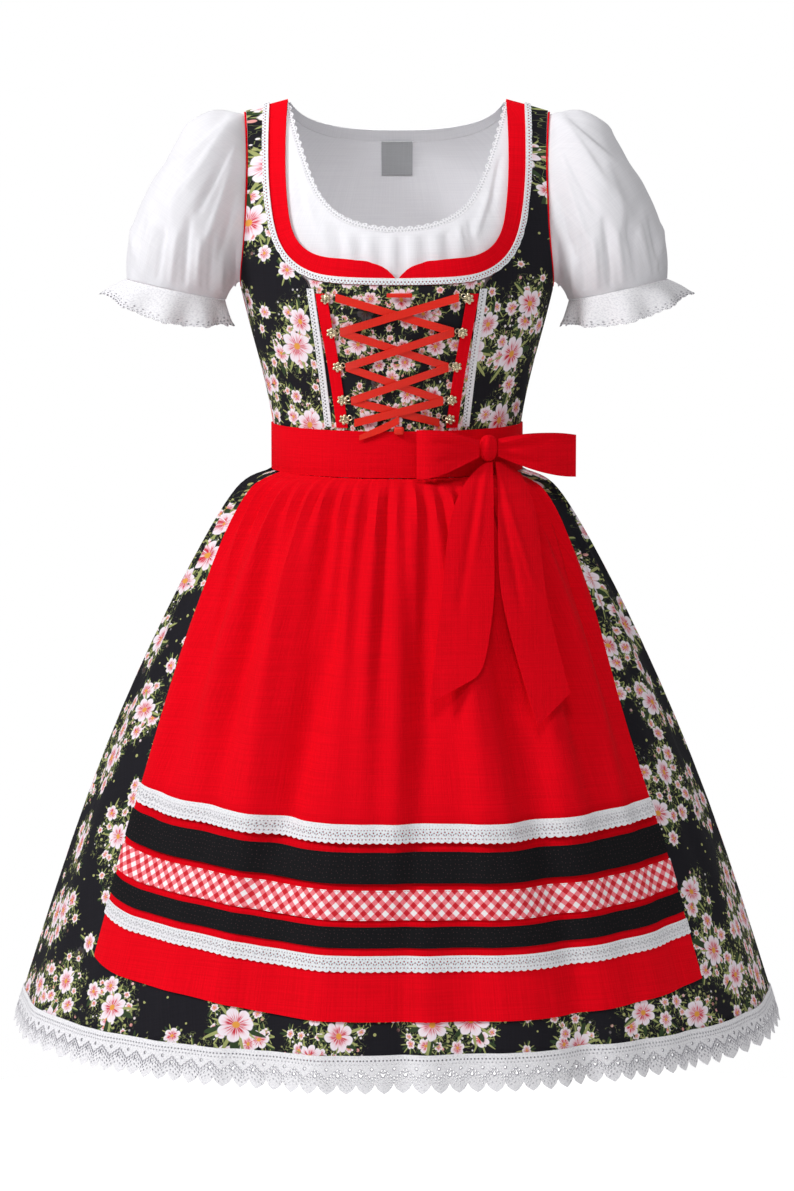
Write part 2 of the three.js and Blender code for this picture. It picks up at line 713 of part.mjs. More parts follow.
/** Blouse front and back, the neck trims and the plain label inside the back. */
function addBlouse() {
  const halves = [
    ['blouse_front', BLOUSE_NECK_FRONT, BLOUSE_FRONT_MIDDLE, false, 'blouse_neck_lace', 'lace'],
    ['blouse_back', BLOUSE_NECK_BACK, BLOUSE_BACK_MIDDLE, true, 'blouse_neck_casing', 'white'],
  ];
  for (const [name, neck, middle, back, trim, finish] of halves) {
    const clothEdge = neckEdge(neck, 1, back);
    const inner = [...clothEdge, ...middle.map((z) => spotAtHeight(0, z, back))];
    const side = BLOUSE_SIDE_HEIGHTS.map((z) => sideSpot(z));
    const outer = [...armholeEdge(back, BLOUSE_ARMHOLE_RISE), ...side];
    const neckRows = neck.length - 1;
    const grid = fan(inner, outer, BLOUSE_COLUMNS).map((row, index) => row.map((spot, column) => {
      const inside = Math.min(1, Math.max(0, index - neckRows) / 2) * (1 - column / BLOUSE_COLUMNS);
      return lifted(spot, -BLOUSE_DEPTH - BLOUSE_SLACK * inside);
    }));
    const sides = drawnIn(grid, ['end', 'top']);
    const tucked = drawnIn(grid, ['start', 'end', 'top']);
    const half = sides.map((row, index) => (index < neckRows ? tucked[index] : row));
    addWall(name, [half, otherSide(half)], BLOUSE_CLOTH, 'white');
    const strip = neckTrim(neckEdge(neck, 0, back), clothEdge, -BLOUSE_DEPTH, ['end', 'top', 'foot']);
    addWall(trim, [strip], BLOUSE_CLOTH, finish);
  }
  const columns = [-1, 0, 1];
  const label = [LABEL.top, (LABEL.top + LABEL.foot) / 2, LABEL.foot].map((z) => columns.map((side) => {
    const { point, normal } = lifted(spotAtHeight(side * LABEL.halfWidth, z, true), -LABEL.depth);
    return { point, normal: normal.negate() };
  }));
  addWall('neck_label', [label], TRIM_CLOTH, 'label');
}

/** Ring of points round a sleeve, from its top over the front to the underarm and back. */
function sleeveRing([topX, topZ, underX, underZ, halfDepth, wave], columns, waveAt, drop = () => 0) {
  const middle = new THREE.Vector3((topX + underX) / 2, 0, (topZ + underZ) / 2);
  const reach = new THREE.Vector3(topX, 0, topZ).sub(middle);
  const span = reach.length();
  const points = [];
  for (let column = 0; column <= columns; column += 1) {
    const turn = (2 * Math.PI * (column % columns)) / columns;
    const swell = waveAt(column % columns) * wave;
    const point = middle.clone().addScaledVector(reach, Math.cos(turn) * (1 + swell / span));
    point.y = -Math.sin(turn) * (halfDepth + swell);
    point.z -= drop(turn, column % columns);
    points.push(point);
  }
  return points;
}

/** Both puff sleeves with their cuff frills. */
function addSleeves() {
  const seam = armholeSides(BLOUSE_ARMHOLE_RISE, -BLOUSE_DEPTH);
  const alternate = (column) => (column % 2 === 0 ? 1 : -1);
  const rowBeside = (distance) => [...seam, seam[0]].map(({ point, out }) => (
    point.clone().addScaledVector(out, distance)));
  const seamRow = rowBeside(2 * SEAM_HALF_GAP);
  const edgeRow = rowBeside(SLEEVE_SEAM_WIDTH);
  const rings = SLEEVE_RINGS.map((ring) => sleeveRing(ring, SLEEVE_COLUMNS, alternate));
  const sleeve = faced(shaped([seamRow, edgeRow, ...rings], true));
  addPair('sleeve', sleeve, 'white', BLOUSE_CLOTH);
  const frill = FRILL_RINGS.map(([topX, topZ, underX, underZ, halfDepth, wave, droop, scallop]) => {
    const waveAt = (column) => Math.sin((2 * Math.PI * FRILL_WAVES * column) / FRILL_COLUMNS);
    const fall = (turn, column) => droop * Math.sin(turn) ** 2 + (column % 2 === 0 ? 0 : scallop);
    return sleeveRing([topX, topZ, underX, underZ, halfDepth, wave], FRILL_COLUMNS, waveAt, fall);
  });
  addPair('cuff_frill', faced(shaped(frill, true)), 'white', BLOUSE_CLOTH);
}

/** Grid round a tube with its normals pointing away from the tube's middle. */
function faced(grid) {
  const last = grid[grid.length - 1];
  const middle = new THREE.Vector3();
  last.slice(1).forEach(({ point }) => middle.addScaledVector(point, 1 / (last.length - 1)));
  return last[0].normal.dot(last[0].point.clone().sub(middle)) > 0 ? grid : turnedOver(grid);
}

/** The same grid with its normals the other way. */
function turnedOver(grid) {
  return grid.map((row) => row.map(({ point, normal }) => ({ point, normal: normal.clone().negate() })));
}

/** Angle of a skirt column at a height; the front's columns fan out with the apron's edges. */
function skirtAngle(column, z, back) {
  if (back) {
    return HALF_TURN / 2 + (HALF_TURN * column) / BACK_COLUMNS;
  }
  const left = -curve(APRON_EDGE, 1, z) * DEGREE;
  const right = curve(APRON_EDGE, 2, z) * DEGREE;
  const fromEnd = FRONT_COLUMNS - column;
  if (column < SIDE_COLUMNS) {
    return THREE.MathUtils.lerp(-HALF_TURN / 2, left, column / SIDE_COLUMNS);
  }
  if (fromEnd < SIDE_COLUMNS) {
    return THREE.MathUtils.lerp(HALF_TURN / 2, right, fromEnd / SIDE_COLUMNS);
  }
  return THREE.MathUtils.lerp(left, right, (column - SIDE_COLUMNS) / (FRONT_COLUMNS - 2 * SIDE_COLUMNS));
}

/** Height of the apron's hem at a front column. */
function apronHem(column) {
  const share = (column - SIDE_COLUMNS) / (FRONT_COLUMNS - 2 * SIDE_COLUMNS);
  return curve(APRON_HEM, 1, THREE.MathUtils.clamp(share, 0, 1));
}

/** Height of the row where the apron begins to hang free, round the whole skirt. */
function freeRowHeight(column, back) {
  const free = (front) => APRON_TOP + APRON_FREE_SHARE * (apronHem(front) - APRON_TOP);
  return back ? THREE.MathUtils.lerp(free(FRONT_COLUMNS), free(0), column / BACK_COLUMNS) : free(column);
}

/** Point and outward direction of a skirt vertex. */
function skirtVertex(row, column, back) {
  const [height, gather, foldShare, dip] = SKIRT_ROWS[row];
  const z = row === FREE_ROW ? freeRowHeight(column, back) : height;
  const angle = skirtAngle(column, z, back);
  const halfWidth = curve(SKIRT, 1, z);
  const depth = curve(SKIRT, back ? 3 : 2, z);
  const tilt = curve(SKIRT, 4, z) * DEGREE;
  const normal = new THREE.Vector3(Math.sin(angle) / halfWidth, -Math.cos(angle) / depth, 0);
  normal.normalize().multiplyScalar(Math.cos(tilt));
  normal.z = Math.sin(tilt);
  const folds = back ? BACK_FOLDS : FRONT_FOLDS;
  const depthHere = ([at, deep, broad]) => deep * Math.exp(-(((column - at) / broad) ** 2));
  const fold = folds.reduce((sum, entry) => sum + depthHere(entry), 0);
  const wave = gather * (column % 2 === 0 ? 1 : -1) - foldShare * fold;
  const sink = dip * Math.max(0, Math.cos(angle));
  const point = new THREE.Vector3(halfWidth * Math.sin(angle), -depth * Math.cos(angle), z - sink);
  return { point: point.addScaledVector(normal, wave), normal };
}

/** Vertex on the skirt's column line at any height below the first free row. */
function alongColumn(upper, lower, z) {
  const share = (z - upper.point.z) / (lower.point.z - upper.point.z);
  return {
    point: upper.point.clone().lerp(lower.point, share),
    normal: upper.normal.clone().lerp(lower.normal, share).normalize(),
  };
}

/** Grid cells moved outward. */
function raised(grid, lift) {
  const raise = ({ point, normal }) => ({ point: point.clone().addScaledVector(normal, lift), normal });
  return grid.map((row) => row.map(raise));
}

/** All rows of the skirt's front or back. */
function skirtGrid(back) {
  const columns = back ? BACK_COLUMNS : FRONT_COLUMNS;
  return SKIRT_ROWS.map((_, row) => {
    const cells = [];
    for (let column = 0; column <= columns; column += 1) {
      cells.push(skirtVertex(row, column, back));
    }
    return cells;
  });
}

/** Skirt front and back with the hem lace on each. */
function addSkirt() {
  for (const [name, back] of [['front', false], ['back', true]]) {
    const grid = skirtGrid(back);
    addWall(`skirt_${name}`, [drawnIn(grid, ['start', 'end'])], DRESS_CLOTH, 'floral');
    addWall(`hem_lace_${name}`, [drawnIn(hemLace(grid), ['start', 'end'])], TRIM_CLOTH, 'lace');
  }
}

/** Lace on the skirt's foot with a scalloped lower edge. */
function hemLace(grid) {
  const upper = grid[FREE_ROW];
  const lower = grid[FREE_ROW + 1];
  const rows = [[], []];
  const addColumn = (above, below, longer) => {
    rows[0].push(alongColumn(above, below, HEM_LACE.top));
    rows[1].push(alongColumn(above, below, longer ? HEM_LACE.tip : HEM_LACE.notch));
  };
  const mix = (start, end, share) => ({
    point: start.point.clone().lerp(end.point, share),
    normal: start.normal.clone().lerp(end.normal, share).normalize(),
  });
  for (let column = 0; column < upper.length - 1; column += 1) {
    const breadth = lower[column].point.distanceTo(lower[column + 1].point);
    const steps = 2 * Math.max(1, Math.round(breadth / HEM_LACE.pitch));
    for (let step = 0; step < steps; step += 1) {
      const share = step / steps;
      const above = mix(upper[column], upper[column + 1], share);
      const below = mix(lower[column], lower[column + 1], share);
      addColumn(above, below, step % 2 === 1);
    }
  }
  addColumn(upper[upper.length - 1], lower[lower.length - 1], false);
  return raised(rows, HEM_LACE.lift);
}

/** Apron panel with its bands and laces. */
function addApron() {
  const skirt = skirtGrid(false);
  const first = SIDE_COLUMNS;
  const last = FRONT_COLUMNS - SIDE_COLUMNS;
  const part = (row) => row.slice(first, last + 1);
  const upperRows = skirt.slice(1, FREE_ROW + 1).map(part);
  const foot = part(skirt[FREE_ROW + 1]);
  const hem = part(skirt[FREE_ROW]).map((cell, column) => (
    alongColumn(cell, foot[column], apronHem(column + first))));
  addWall('apron_panel', [raised([...upperRows, hem], APRON_LIFT)], APRON_CLOTH, 'red');
  const free = upperRows[upperRows.length - 1];
  const above = upperRows[upperRows.length - 2];
  const rowAt = (share) => free.map((cell, column) => {
    const z = APRON_TOP + share * (apronHem(column + first) - APRON_TOP);
    const inUpper = share < APRON_FREE_SHARE;
    return inUpper ? alongColumn(above[column], cell, z) : alongColumn(cell, hem[column], z);
  });
  for (const [name, top, low, finish] of APRON_BANDS) {
    addWall(name, [raised([rowAt(top), rowAt(low)], BAND_LIFT)], TRIM_CLOTH, finish);
  }
}

/** Point of the waistband's outer face at an angle and height, without its dip. */
function waistPoint(angle, z) {
  const depth = Math.cos(angle) >= 0 ? WAIST.front : WAIST.back;
  const dip = WAIST.dip * Math.max(0, Math.cos(angle));
  const point = new THREE.Vector3(WAIST.halfWidth * Math.sin(angle), -depth * Math.cos(angle), z - dip);
  const normal = new THREE.Vector3(Math.sin(angle) / WAIST.halfWidth, -Math.cos(angle) / depth, 0);
  return { point, normal: normal.normalize() };
}

/** Waistband across the front and the tie round the back. */
function addWaist() {
  const strip = (from, to, columns) => [WAIST.top, (WAIST.top + WAIST.foot) / 2, WAIST.foot].map((z) => {
    const cells = [];
    for (let column = 0; column <= columns; column += 1) {
      cells.push(waistPoint(THREE.MathUtils.lerp(from, to, column / columns), z));
    }
    return cells;
  });
  const round = 2 * Math.PI - WAIST.end;
  const front = strip(-WAIST.end, WAIST.end, WAIST.frontColumns);
  const back = strip(WAIST.end, round, WAIST.backColumns);
  addWall('apron_waistband', [drawnIn(front, ['start', 'end'])], WAIST.cloth, 'red');
  addWall('apron_tie_back', [drawnIn(back, ['start', 'end'])], WAIST.cloth, 'red');
}

/** Bow of the apron's ties: knot, two loops and two tails. */
function addBow() {
  addKnot();
  for (const [name, stations] of [['bow_loop_left', LOOP_LEFT], ['bow_loop_right', LOOP_RIGHT]]) {
    const fold = stations.length - 1;
    const front = stations.map(([x, y, , z, half]) => [x, y, z, half]);
    const back = stations.slice(0, fold).map(([x, , y, z, half]) => [x, y, z, half]);
    const rows = [...front, ...back.reverse()].map(([x, y, z, half]) => LOOP_ROWS.map((side) => (
      new THREE.Vector3(x, y, z + side * half))));
    addWall(name, [outwardFrom(shaped(rows), stations[1])], RIBBON_CLOTH, 'red');
  }
  for (const [name, stations] of [['bow_tail_left', TAIL_LEFT], ['bow_tail_right', TAIL_RIGHT]]) {
    const rows = stations.map(([leftX, leftZ, rightX, rightZ, lift]) => {
      const cells = [];
      for (let column = 0; column <= TAIL_COLUMNS; column += 1) {
        const share = column / TAIL_COLUMNS;
        const x = THREE.MathUtils.lerp(leftX, rightX, share);
        const z = THREE.MathUtils.lerp(leftZ, rightZ, share);
        cells.push(overSkirt(x, z, lift));
      }
      return cells;
    });
    addWall(name, [rows], RIBBON_CLOTH, 'red');
  }
}

/** Loop grid with normals pointing out of the loop. */
function outwardFrom(grid, [x, front, back, z]) {
  const heart = new THREE.Vector3(x, (front + back) / 2, z);
  const cell = grid[1][2];
  return cell.normal.dot(cell.point.clone().sub(heart)) > 0 ? grid : turnedOver(grid);
}

/** Point over the smooth skirt front at a half width and height. */
function overSkirt(x, z, lift) {
  const level = Math.min(z, APRON_TOP);
  const halfWidth = Math.max(curve(SKIRT, 1, level), WAIST.halfWidth);
  const depth = Math.max(curve(SKIRT, 2, level), WAIST.front);
  const tilt = curve(SKIRT, 4, level) * DEGREE;
  const angle = Math.asin(x / halfWidth);
  const normal = new THREE.Vector3(Math.sin(angle) / halfWidth, -Math.cos(angle) / depth, 0);
  normal.normalize().multiplyScalar(Math.cos(tilt));
  normal.z = Math.sin(tilt);
  const point = new THREE.Vector3(x, -depth * Math.cos(angle), z);
  return { point: point.addScaledVector(normal, lift), normal };
}

/** Rounded knot between the loops, turned with the waist's surface. */
function addKnot() {
  const along = new THREE.Vector3(Math.cos(BOW_KNOT.turn), Math.sin(BOW_KNOT.turn), 0);
  const out = new THREE.Vector3(Math.sin(BOW_KNOT.turn), -Math.cos(BOW_KNOT.turn), 0);
  const up = new THREE.Vector3(0, 0, 1);
  const rows = [];
  for (let ring = 0; ring <= BOW_KNOT.rings; ring += 1) {
    const polar = (Math.PI * ring) / BOW_KNOT.rings;
    const girth = Math.sin(polar) ** BOW_KNOT.taper;
    const row = [];
    for (let side = 0; side <= BOW_KNOT.sides; side += 1) {
      const turn = (2 * Math.PI * side) / BOW_KNOT.sides;
      row.push(new THREE.Vector3(BOW_KNOT.x, BOW_KNOT.y, BOW_KNOT.z)
        .addScaledVector(along, BOW_KNOT.across * girth * Math.cos(turn))
        .addScaledVector(out, BOW_KNOT.through * girth * Math.sin(turn))
        .addScaledVector(up, BOW_KNOT.high * Math.cos(polar)));
    }
    rows.push(row);
  }
  addRound('bow_knot', rows, 'red');
}

/** Hooks down both strips. */
function addHooks() {
  HOOKS.forEach(([x, z], index) => {
    for (const [side, sign] of [['left', -1], ['right', 1]]) {
      const { point, normal } = lifted(spotAtHeight(sign * x, z, false), HOOK.lift);
      const across = new THREE.Vector3(0, 0, 1).cross(normal).normalize();
      const up = normal.clone().cross(across);
      const ring = (radius, height) => {
        const row = [];
        for (let corner = 0; corner <= HOOK.sides; corner += 1) {
          const turn = (2 * Math.PI * corner) / HOOK.sides;
          row.push(point.clone().addScaledVector(normal, height)
            .addScaledVector(across, radius * Math.cos(turn))
            .addScaledVector(up, radius * Math.sin(turn)));
        }
        return row;
      };
      const rows = [ring(0, 0), ring(HOOK.radius, 0), ring(HOOK.crown, HOOK.height), ring(0, HOOK.height)];
      addRound(`hook_${side}_${index + 1}`, rows, 'hook');
    }
  });
}

/** Both lacing ribbons and the free end at the foot. */
function addLacing() {
  addRibbon('lacing_ribbon_first', 1);
  addRibbon('lacing_ribbon_second', -1);
  const tail = LACING_TAIL.map(([x, z, half]) => [half, -half].map((side) => {
    const angle = Math.asin(x / WAIST.halfWidth);
    const { point, normal } = waistPoint(angle, z + side);
    point.z = z + side;
    return { point: point.addScaledVector(normal, LACING_TAIL_LIFT), normal };
  }));
  addWall('lacing_end', [tail], LACING.cloth, 'satin');
}

/** One zigzag ribbon; sign 1 starts at the upper left turn, -1 at the upper right. */
function addRibbon(name, sign) {
  const place = (x, z, lift) => lifted(spotAtHeight(x, z, false), lift);
  const grid = [];
  for (let turn = 0; turn < LACING_TURNS.length - 1; turn += 1) {
    const side = sign * (turn % 2 === 0 ? -1 : 1);
    const [startHalf, startZ] = LACING_TURNS[turn];
    const [endHalf, endZ] = LACING_TURNS[turn + 1];
    const startX = side * startHalf;
    const endX = -side * endHalf;
    const slope = (endZ - startZ) / (endX - startX);
    const notch = LACING.halfHeight / Math.abs(slope);
    const lift = (side > 0 ? LACING.high : LACING.low);
    const line = (x) => startZ + slope * (x - startX);
    // The edge on the ribbon's left hand stays first in each row, whichever way it runs.
    const pair = (upper, lower) => (side < 0 ? [upper, lower] : [lower, upper]);
    const across = (x) => grid.push(pair(
      place(x, line(x) + LACING.halfHeight, lift),
      place(x, line(x) - LACING.halfHeight, lift),
    ));
    const first = turn === 0;
    const last = turn === LACING_TURNS.length - 2;
    if (first) {
      across(startX);
    } else {
      const meetX = startX - side * notch;
      const meet = place(meetX, startZ, lift);
      grid.push(pair(meet, place(startX, startZ - LACING.halfHeight, lift)));
      grid.push(pair(meet, place(meetX, line(meetX) - LACING.halfHeight, lift)));
    }
    for (const x of [side * LACING.midway, 0, -side * LACING.midway]) {
      across(x);
    }
    if (last) {
      across(endX);
    } else {
      const meetX = endX + side * notch;
      const meet = place(meetX, endZ, lift);
      grid.push(pair(place(meetX, line(meetX) + LACING.halfHeight, lift), meet));
      grid.push(pair(place(endX, endZ + LACING.halfHeight, lift), meet));
    }
  }
  addWall(name, [grid], LACING.cloth, 'satin');
}

addBodice();
addBodiceTrims();
addPiping();
addBlouse();
addSleeves();
addSkirt();
addApron();
addWaist();
addBow();
addHooks();
addLacing();

export default group;
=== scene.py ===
"""Looks of a dirndl set: blouse, laced dress and tied apron, made over its solid model."""

import json
import logging
import math
from dataclasses import dataclass
from enum import Enum

import bmesh
import bpy
import numpy as np
from mathutils import Matrix, Vector
from mathutils.bvhtree import BVHTree
from mathutils.geometry import barycentric_transform

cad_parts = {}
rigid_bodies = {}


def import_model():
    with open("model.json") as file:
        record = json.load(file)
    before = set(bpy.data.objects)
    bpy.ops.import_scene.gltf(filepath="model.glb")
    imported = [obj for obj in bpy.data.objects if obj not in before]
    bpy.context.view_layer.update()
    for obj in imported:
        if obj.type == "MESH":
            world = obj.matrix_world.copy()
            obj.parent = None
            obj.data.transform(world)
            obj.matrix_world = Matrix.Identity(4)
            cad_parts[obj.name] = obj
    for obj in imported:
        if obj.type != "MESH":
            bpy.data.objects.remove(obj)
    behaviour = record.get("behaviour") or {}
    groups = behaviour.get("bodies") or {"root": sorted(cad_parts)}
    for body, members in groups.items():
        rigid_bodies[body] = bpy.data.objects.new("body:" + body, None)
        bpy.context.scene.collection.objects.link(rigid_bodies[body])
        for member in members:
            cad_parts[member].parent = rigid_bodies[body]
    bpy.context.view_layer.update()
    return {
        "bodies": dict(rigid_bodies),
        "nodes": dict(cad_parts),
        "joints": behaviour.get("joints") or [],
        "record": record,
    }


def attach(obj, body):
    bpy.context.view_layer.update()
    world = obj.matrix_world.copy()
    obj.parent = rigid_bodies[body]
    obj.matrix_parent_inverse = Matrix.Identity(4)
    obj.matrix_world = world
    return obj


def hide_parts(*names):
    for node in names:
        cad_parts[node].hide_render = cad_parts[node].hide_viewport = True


log = logging.getLogger("dirndl")

# Lengths are in millimetres unless a docstring says metres, and the scene is in metres.
MM = 0.001
HALVES = (("front", False), ("back", True))

# Points nearer the plane of the side seams than this are laid on it.
HALF_GAP = 0.2
# The back pieces' cuts start here, so that the print breaks at the side seams.
BACK_START = np.array([0.0, 700.0])

# How a solid's triangles are merged into four-sided faces before they are divided.
MERGE_GAP = 0.00001
QUAD_ANGLE = math.radians(50)
QUAD_SHAPE = math.radians(70)
# Edges sharper than this stay sharp.
EDGE_ANGLE = math.radians(52)

# How many times a piece's faces are divided.
COARSE, FINE, FINEST = 2, 3, 4

# Least length that a piece's cut is held to, in metres.
SHORTEST_CUT = 0.0101
SMOOTHING_PASSES = 6
# Share of a strip's points, in hundredths, that lies within its stated half width.
STRIP_SHARE = 97
# Farthest that a stitch may lie from the cloth on the cut.
STITCH_REACH = 0.5

Socket = bpy.types.NodeSocket
Feed = float | tuple | Socket


def dye(red: int, green: int, blue: int) -> tuple[float, float, float, float]:
    """Turns a colour of 0 to 255 a channel into a shader's linear one.

    Args:
        red: red channel.
        green: green channel.
        blue: blue channel.

    Returns:
        The linear colour with full opacity.
    """
    shares = [channel / 255 for channel in (red, green, blue)]
    linear = [s / 12.92 if s <= 0.04045 else ((s + 0.055) / 1.055) ** 2.4 for s in shares]
    return (linear[0], linear[1], linear[2], 1.0)


class Recipe:
    """One material, whose nodes are added step by step."""

    def __init__(self, name: str) -> None:
        """Starts a material.

        Args:
            name: name of the material.
        """
        self.material = bpy.data.materials.new(name)
        self.material.use_nodes = True
        self.tree = self.material.node_tree
        self.shader = self.tree.nodes["Principled BSDF"]

    def put(self, kind: str, feeds: dict[str | int, Feed], **settings: object) -> bpy.types.Node:
        """Adds a node.

        Args:
            kind: Blender's name of the node's kind.
            feeds: values or sockets for its inputs.
            settings: the node's own settings.

        Returns:
            The new node.
        """
        node = self.tree.nodes.new(kind)
        for name, value in settings.items():
            setattr(node, name, value)
        for key, value in feeds.items():
            self.feed(node.inputs[key], value)
        return node

    def feed(self, socket: Socket, value: Feed) -> None:
        """Links or sets one input.

        Args:
            socket: the input.
            value: a socket to link, or a value to set.
        """
        if isinstance(value, bpy.types.NodeSocket):
            self.tree.links.new(value, socket)
        else:
            socket.default_value = value

    def set(self, **inputs: Feed) -> None:
        """Sets inputs of the shader.

        Args:
            inputs: values by input name, with an underscore for each space.
        """
        for name, value in inputs.items():
            self.feed(self.shader.inputs[name.replace("_", " ")], value)

    def cut(self) -> Socket:
        """Place on the flat cut of the cloth, in metres."""
        return self.put("ShaderNodeUVMap", {}, uv_map="cut").outputs["UV"]

    def place(self) -> Socket:
        """Place on the object, in metres."""
        return self.put("ShaderNodeTexCoord", {}).outputs["Object"]

    def maths(self, operation: str, first: Feed, second: Feed = 0.0, clamp: bool = False) -> Socket:
        """Works out a number.

        Args:
            operation: name of the sum.
            first: first number.
            second: second number.
            clamp: whether the result is held between 0 and 1.

        Returns:
            The result's socket.
        """
        return self.put("ShaderNodeMath", {0: first, 1: second}, operation=operation, use_clamp=clamp).outputs[0]

    def times(self, first: Feed, second: Feed) -> Socket:
        """First number times the second."""
        return self.maths("MULTIPLY", first, second)

    def plus(self, first: Feed, second: Feed) -> Socket:
        """Sum of two numbers."""
        return self.maths("ADD", first, second)

    def less(self, first: Feed, second: Feed) -> Socket:
        """First number less the second."""
        return self.maths("SUBTRACT", first, second)

    def vector(self, operation: str, first: Feed, second: Feed = (0.0, 0.0, 0.0)) -> Socket:
        """Works out a vector, or its length."""
        node = self.put("ShaderNodeVectorMath", {0: first, 1: second}, operation=operation)
        return node.outputs["Value" if operation == "LENGTH" else "Vector"]

    def split(self, vector: Feed) -> tuple[Socket, Socket, Socket]:
        """The three parts of a vector."""
        parts = self.put("ShaderNodeSeparateXYZ", {0: vector}).outputs
        return parts[0], parts[1], parts[2]

    def join(self, x: Feed, y: Feed, z: Feed = 0.0) -> Socket:
        """A vector of three parts."""
        return self.put("ShaderNodeCombineXYZ", {0: x, 1: y, 2: z}).outputs[0]

    def step(self, value: Feed, start: float, end: float) -> Socket:
        """Smooth step from 0 at start to 1 at end, which may lie below start.

        Args:
            value: the number.
            start: where the step begins.
            end: where the step ends.

        Returns:
            The step's socket.
        """
        low, high = min(start, end), max(start, end)
        ends = (0.0, 1.0) if end >= start else (1.0, 0.0)
        feeds = {0: value, 1: low, 2: high, 3: ends[0], 4: ends[1]}
        return self.put("ShaderNodeMapRange", feeds, interpolation_type="SMOOTHSTEP").outputs[0]

    def blend(self, share: Feed, first: Feed, second: Feed) -> Socket:
        """Mixes two colours.

        Args:
            share: share of the second colour.
            first: first colour.
            second: second colour.

        Returns:
            The mixed colour's socket.
        """
        return self.put("ShaderNodeMix", {0: share, 6: first, 7: second}, data_type="RGBA").outputs[2]

    def noise(self, where: Feed, scale: float, detail: float = 2.0) -> Socket:
        """Soft noise between 0 and 1.

        Args:
            where: place that it reads.
            scale: patches a metre.
            detail: number of finer layers.

        Returns:
            The noise's socket.
        """
        feeds = {"Vector": where, "Scale": scale, "Detail": detail}
        return self.put("ShaderNodeTexNoise", feeds).outputs[0]

    def emboss(self, height: Feed, depth: float, strength: float = 1.0) -> None:
        """Raises the surface by a height of 0 to 1.

        Args:
            height: the height's socket.
            depth: real depth in metres.
            strength: strength of the relief.
        """
        feeds = {"Height": height, "Distance": depth, "Strength": strength}
        self.set(Normal=self.put("ShaderNodeBump", feeds).outputs[0])

    def threads(self, pitch: float) -> Socket:
        """Height of a plain weave.

        Args:
            pitch: distance between threads in metres.

        Returns:
            Height between 0 and 1.
        """
        along, across, _ = self.split(self.cut())
        turn = 2 * math.pi / pitch
        warp = self.maths("SINE", self.times(along, turn))
        weft = self.maths("SINE", self.times(across, turn))
        return self.maths("MULTIPLY_ADD", self.times(warp, weft), 0.5)

    def slubs(self, length: float = 14.0, width: float = 900.0) -> Socket:
        """Uneven thick threads both ways, between 0 and 1.

        Args:
            length: patches a metre along a thread.
            width: threads a metre.

        Returns:
            The unevenness's socket.
        """
        where = self.cut()
        warp = self.noise(self.vector("MULTIPLY", where, (width, length, 1.0)), 1.0, 1.0)
        weft = self.noise(self.vector("MULTIPLY", where, (length, width, 1.0)), 1.0, 1.0)
        return self.times(self.plus(warp, weft), 0.5)


@dataclass(frozen=True)
class PlainCotton:
    """Plain woven cotton in one dye."""

    name: str
    light: tuple[int, int, int]
    deep: tuple[int, int, int]
    pitch: float = 0.0008
    relief: float = 0.00012
    roughness: float = 0.9
    sheen: float = 0.03

    def make(self) -> bpy.types.Material:
        """Builds the material.

        Returns:
            The finished material.
        """
        recipe = Recipe(self.name)
        slub = recipe.step(recipe.slubs(), 0.36, 0.64)
        patch = recipe.noise(recipe.place(), 22.0, 3.0)
        shade = recipe.plus(recipe.times(slub, 0.55), recipe.times(patch, 0.45))
        recipe.set(Base_Color=recipe.blend(shade, dye(*self.deep), dye(*self.light)))
        recipe.set(Roughness=self.roughness, Sheen_Weight=self.sheen, Sheen_Roughness=0.45)
        recipe.set(Specular_IOR_Level=0.08)
        height = recipe.plus(recipe.threads(self.pitch), slub)
        recipe.emboss(height, self.relief, 0.7)
        return recipe.material


@dataclass(frozen=True)
class Blossoms:
    """One size of scattered flower on the print, in metres."""

    cell: float
    radius: float
    petals: float
    spread: float
    shift: tuple[float, float, float]
    light: tuple[int, int, int]
    deep: tuple[int, int, int]
    leaf_reach: float
    in_bunch: float
    alone: float


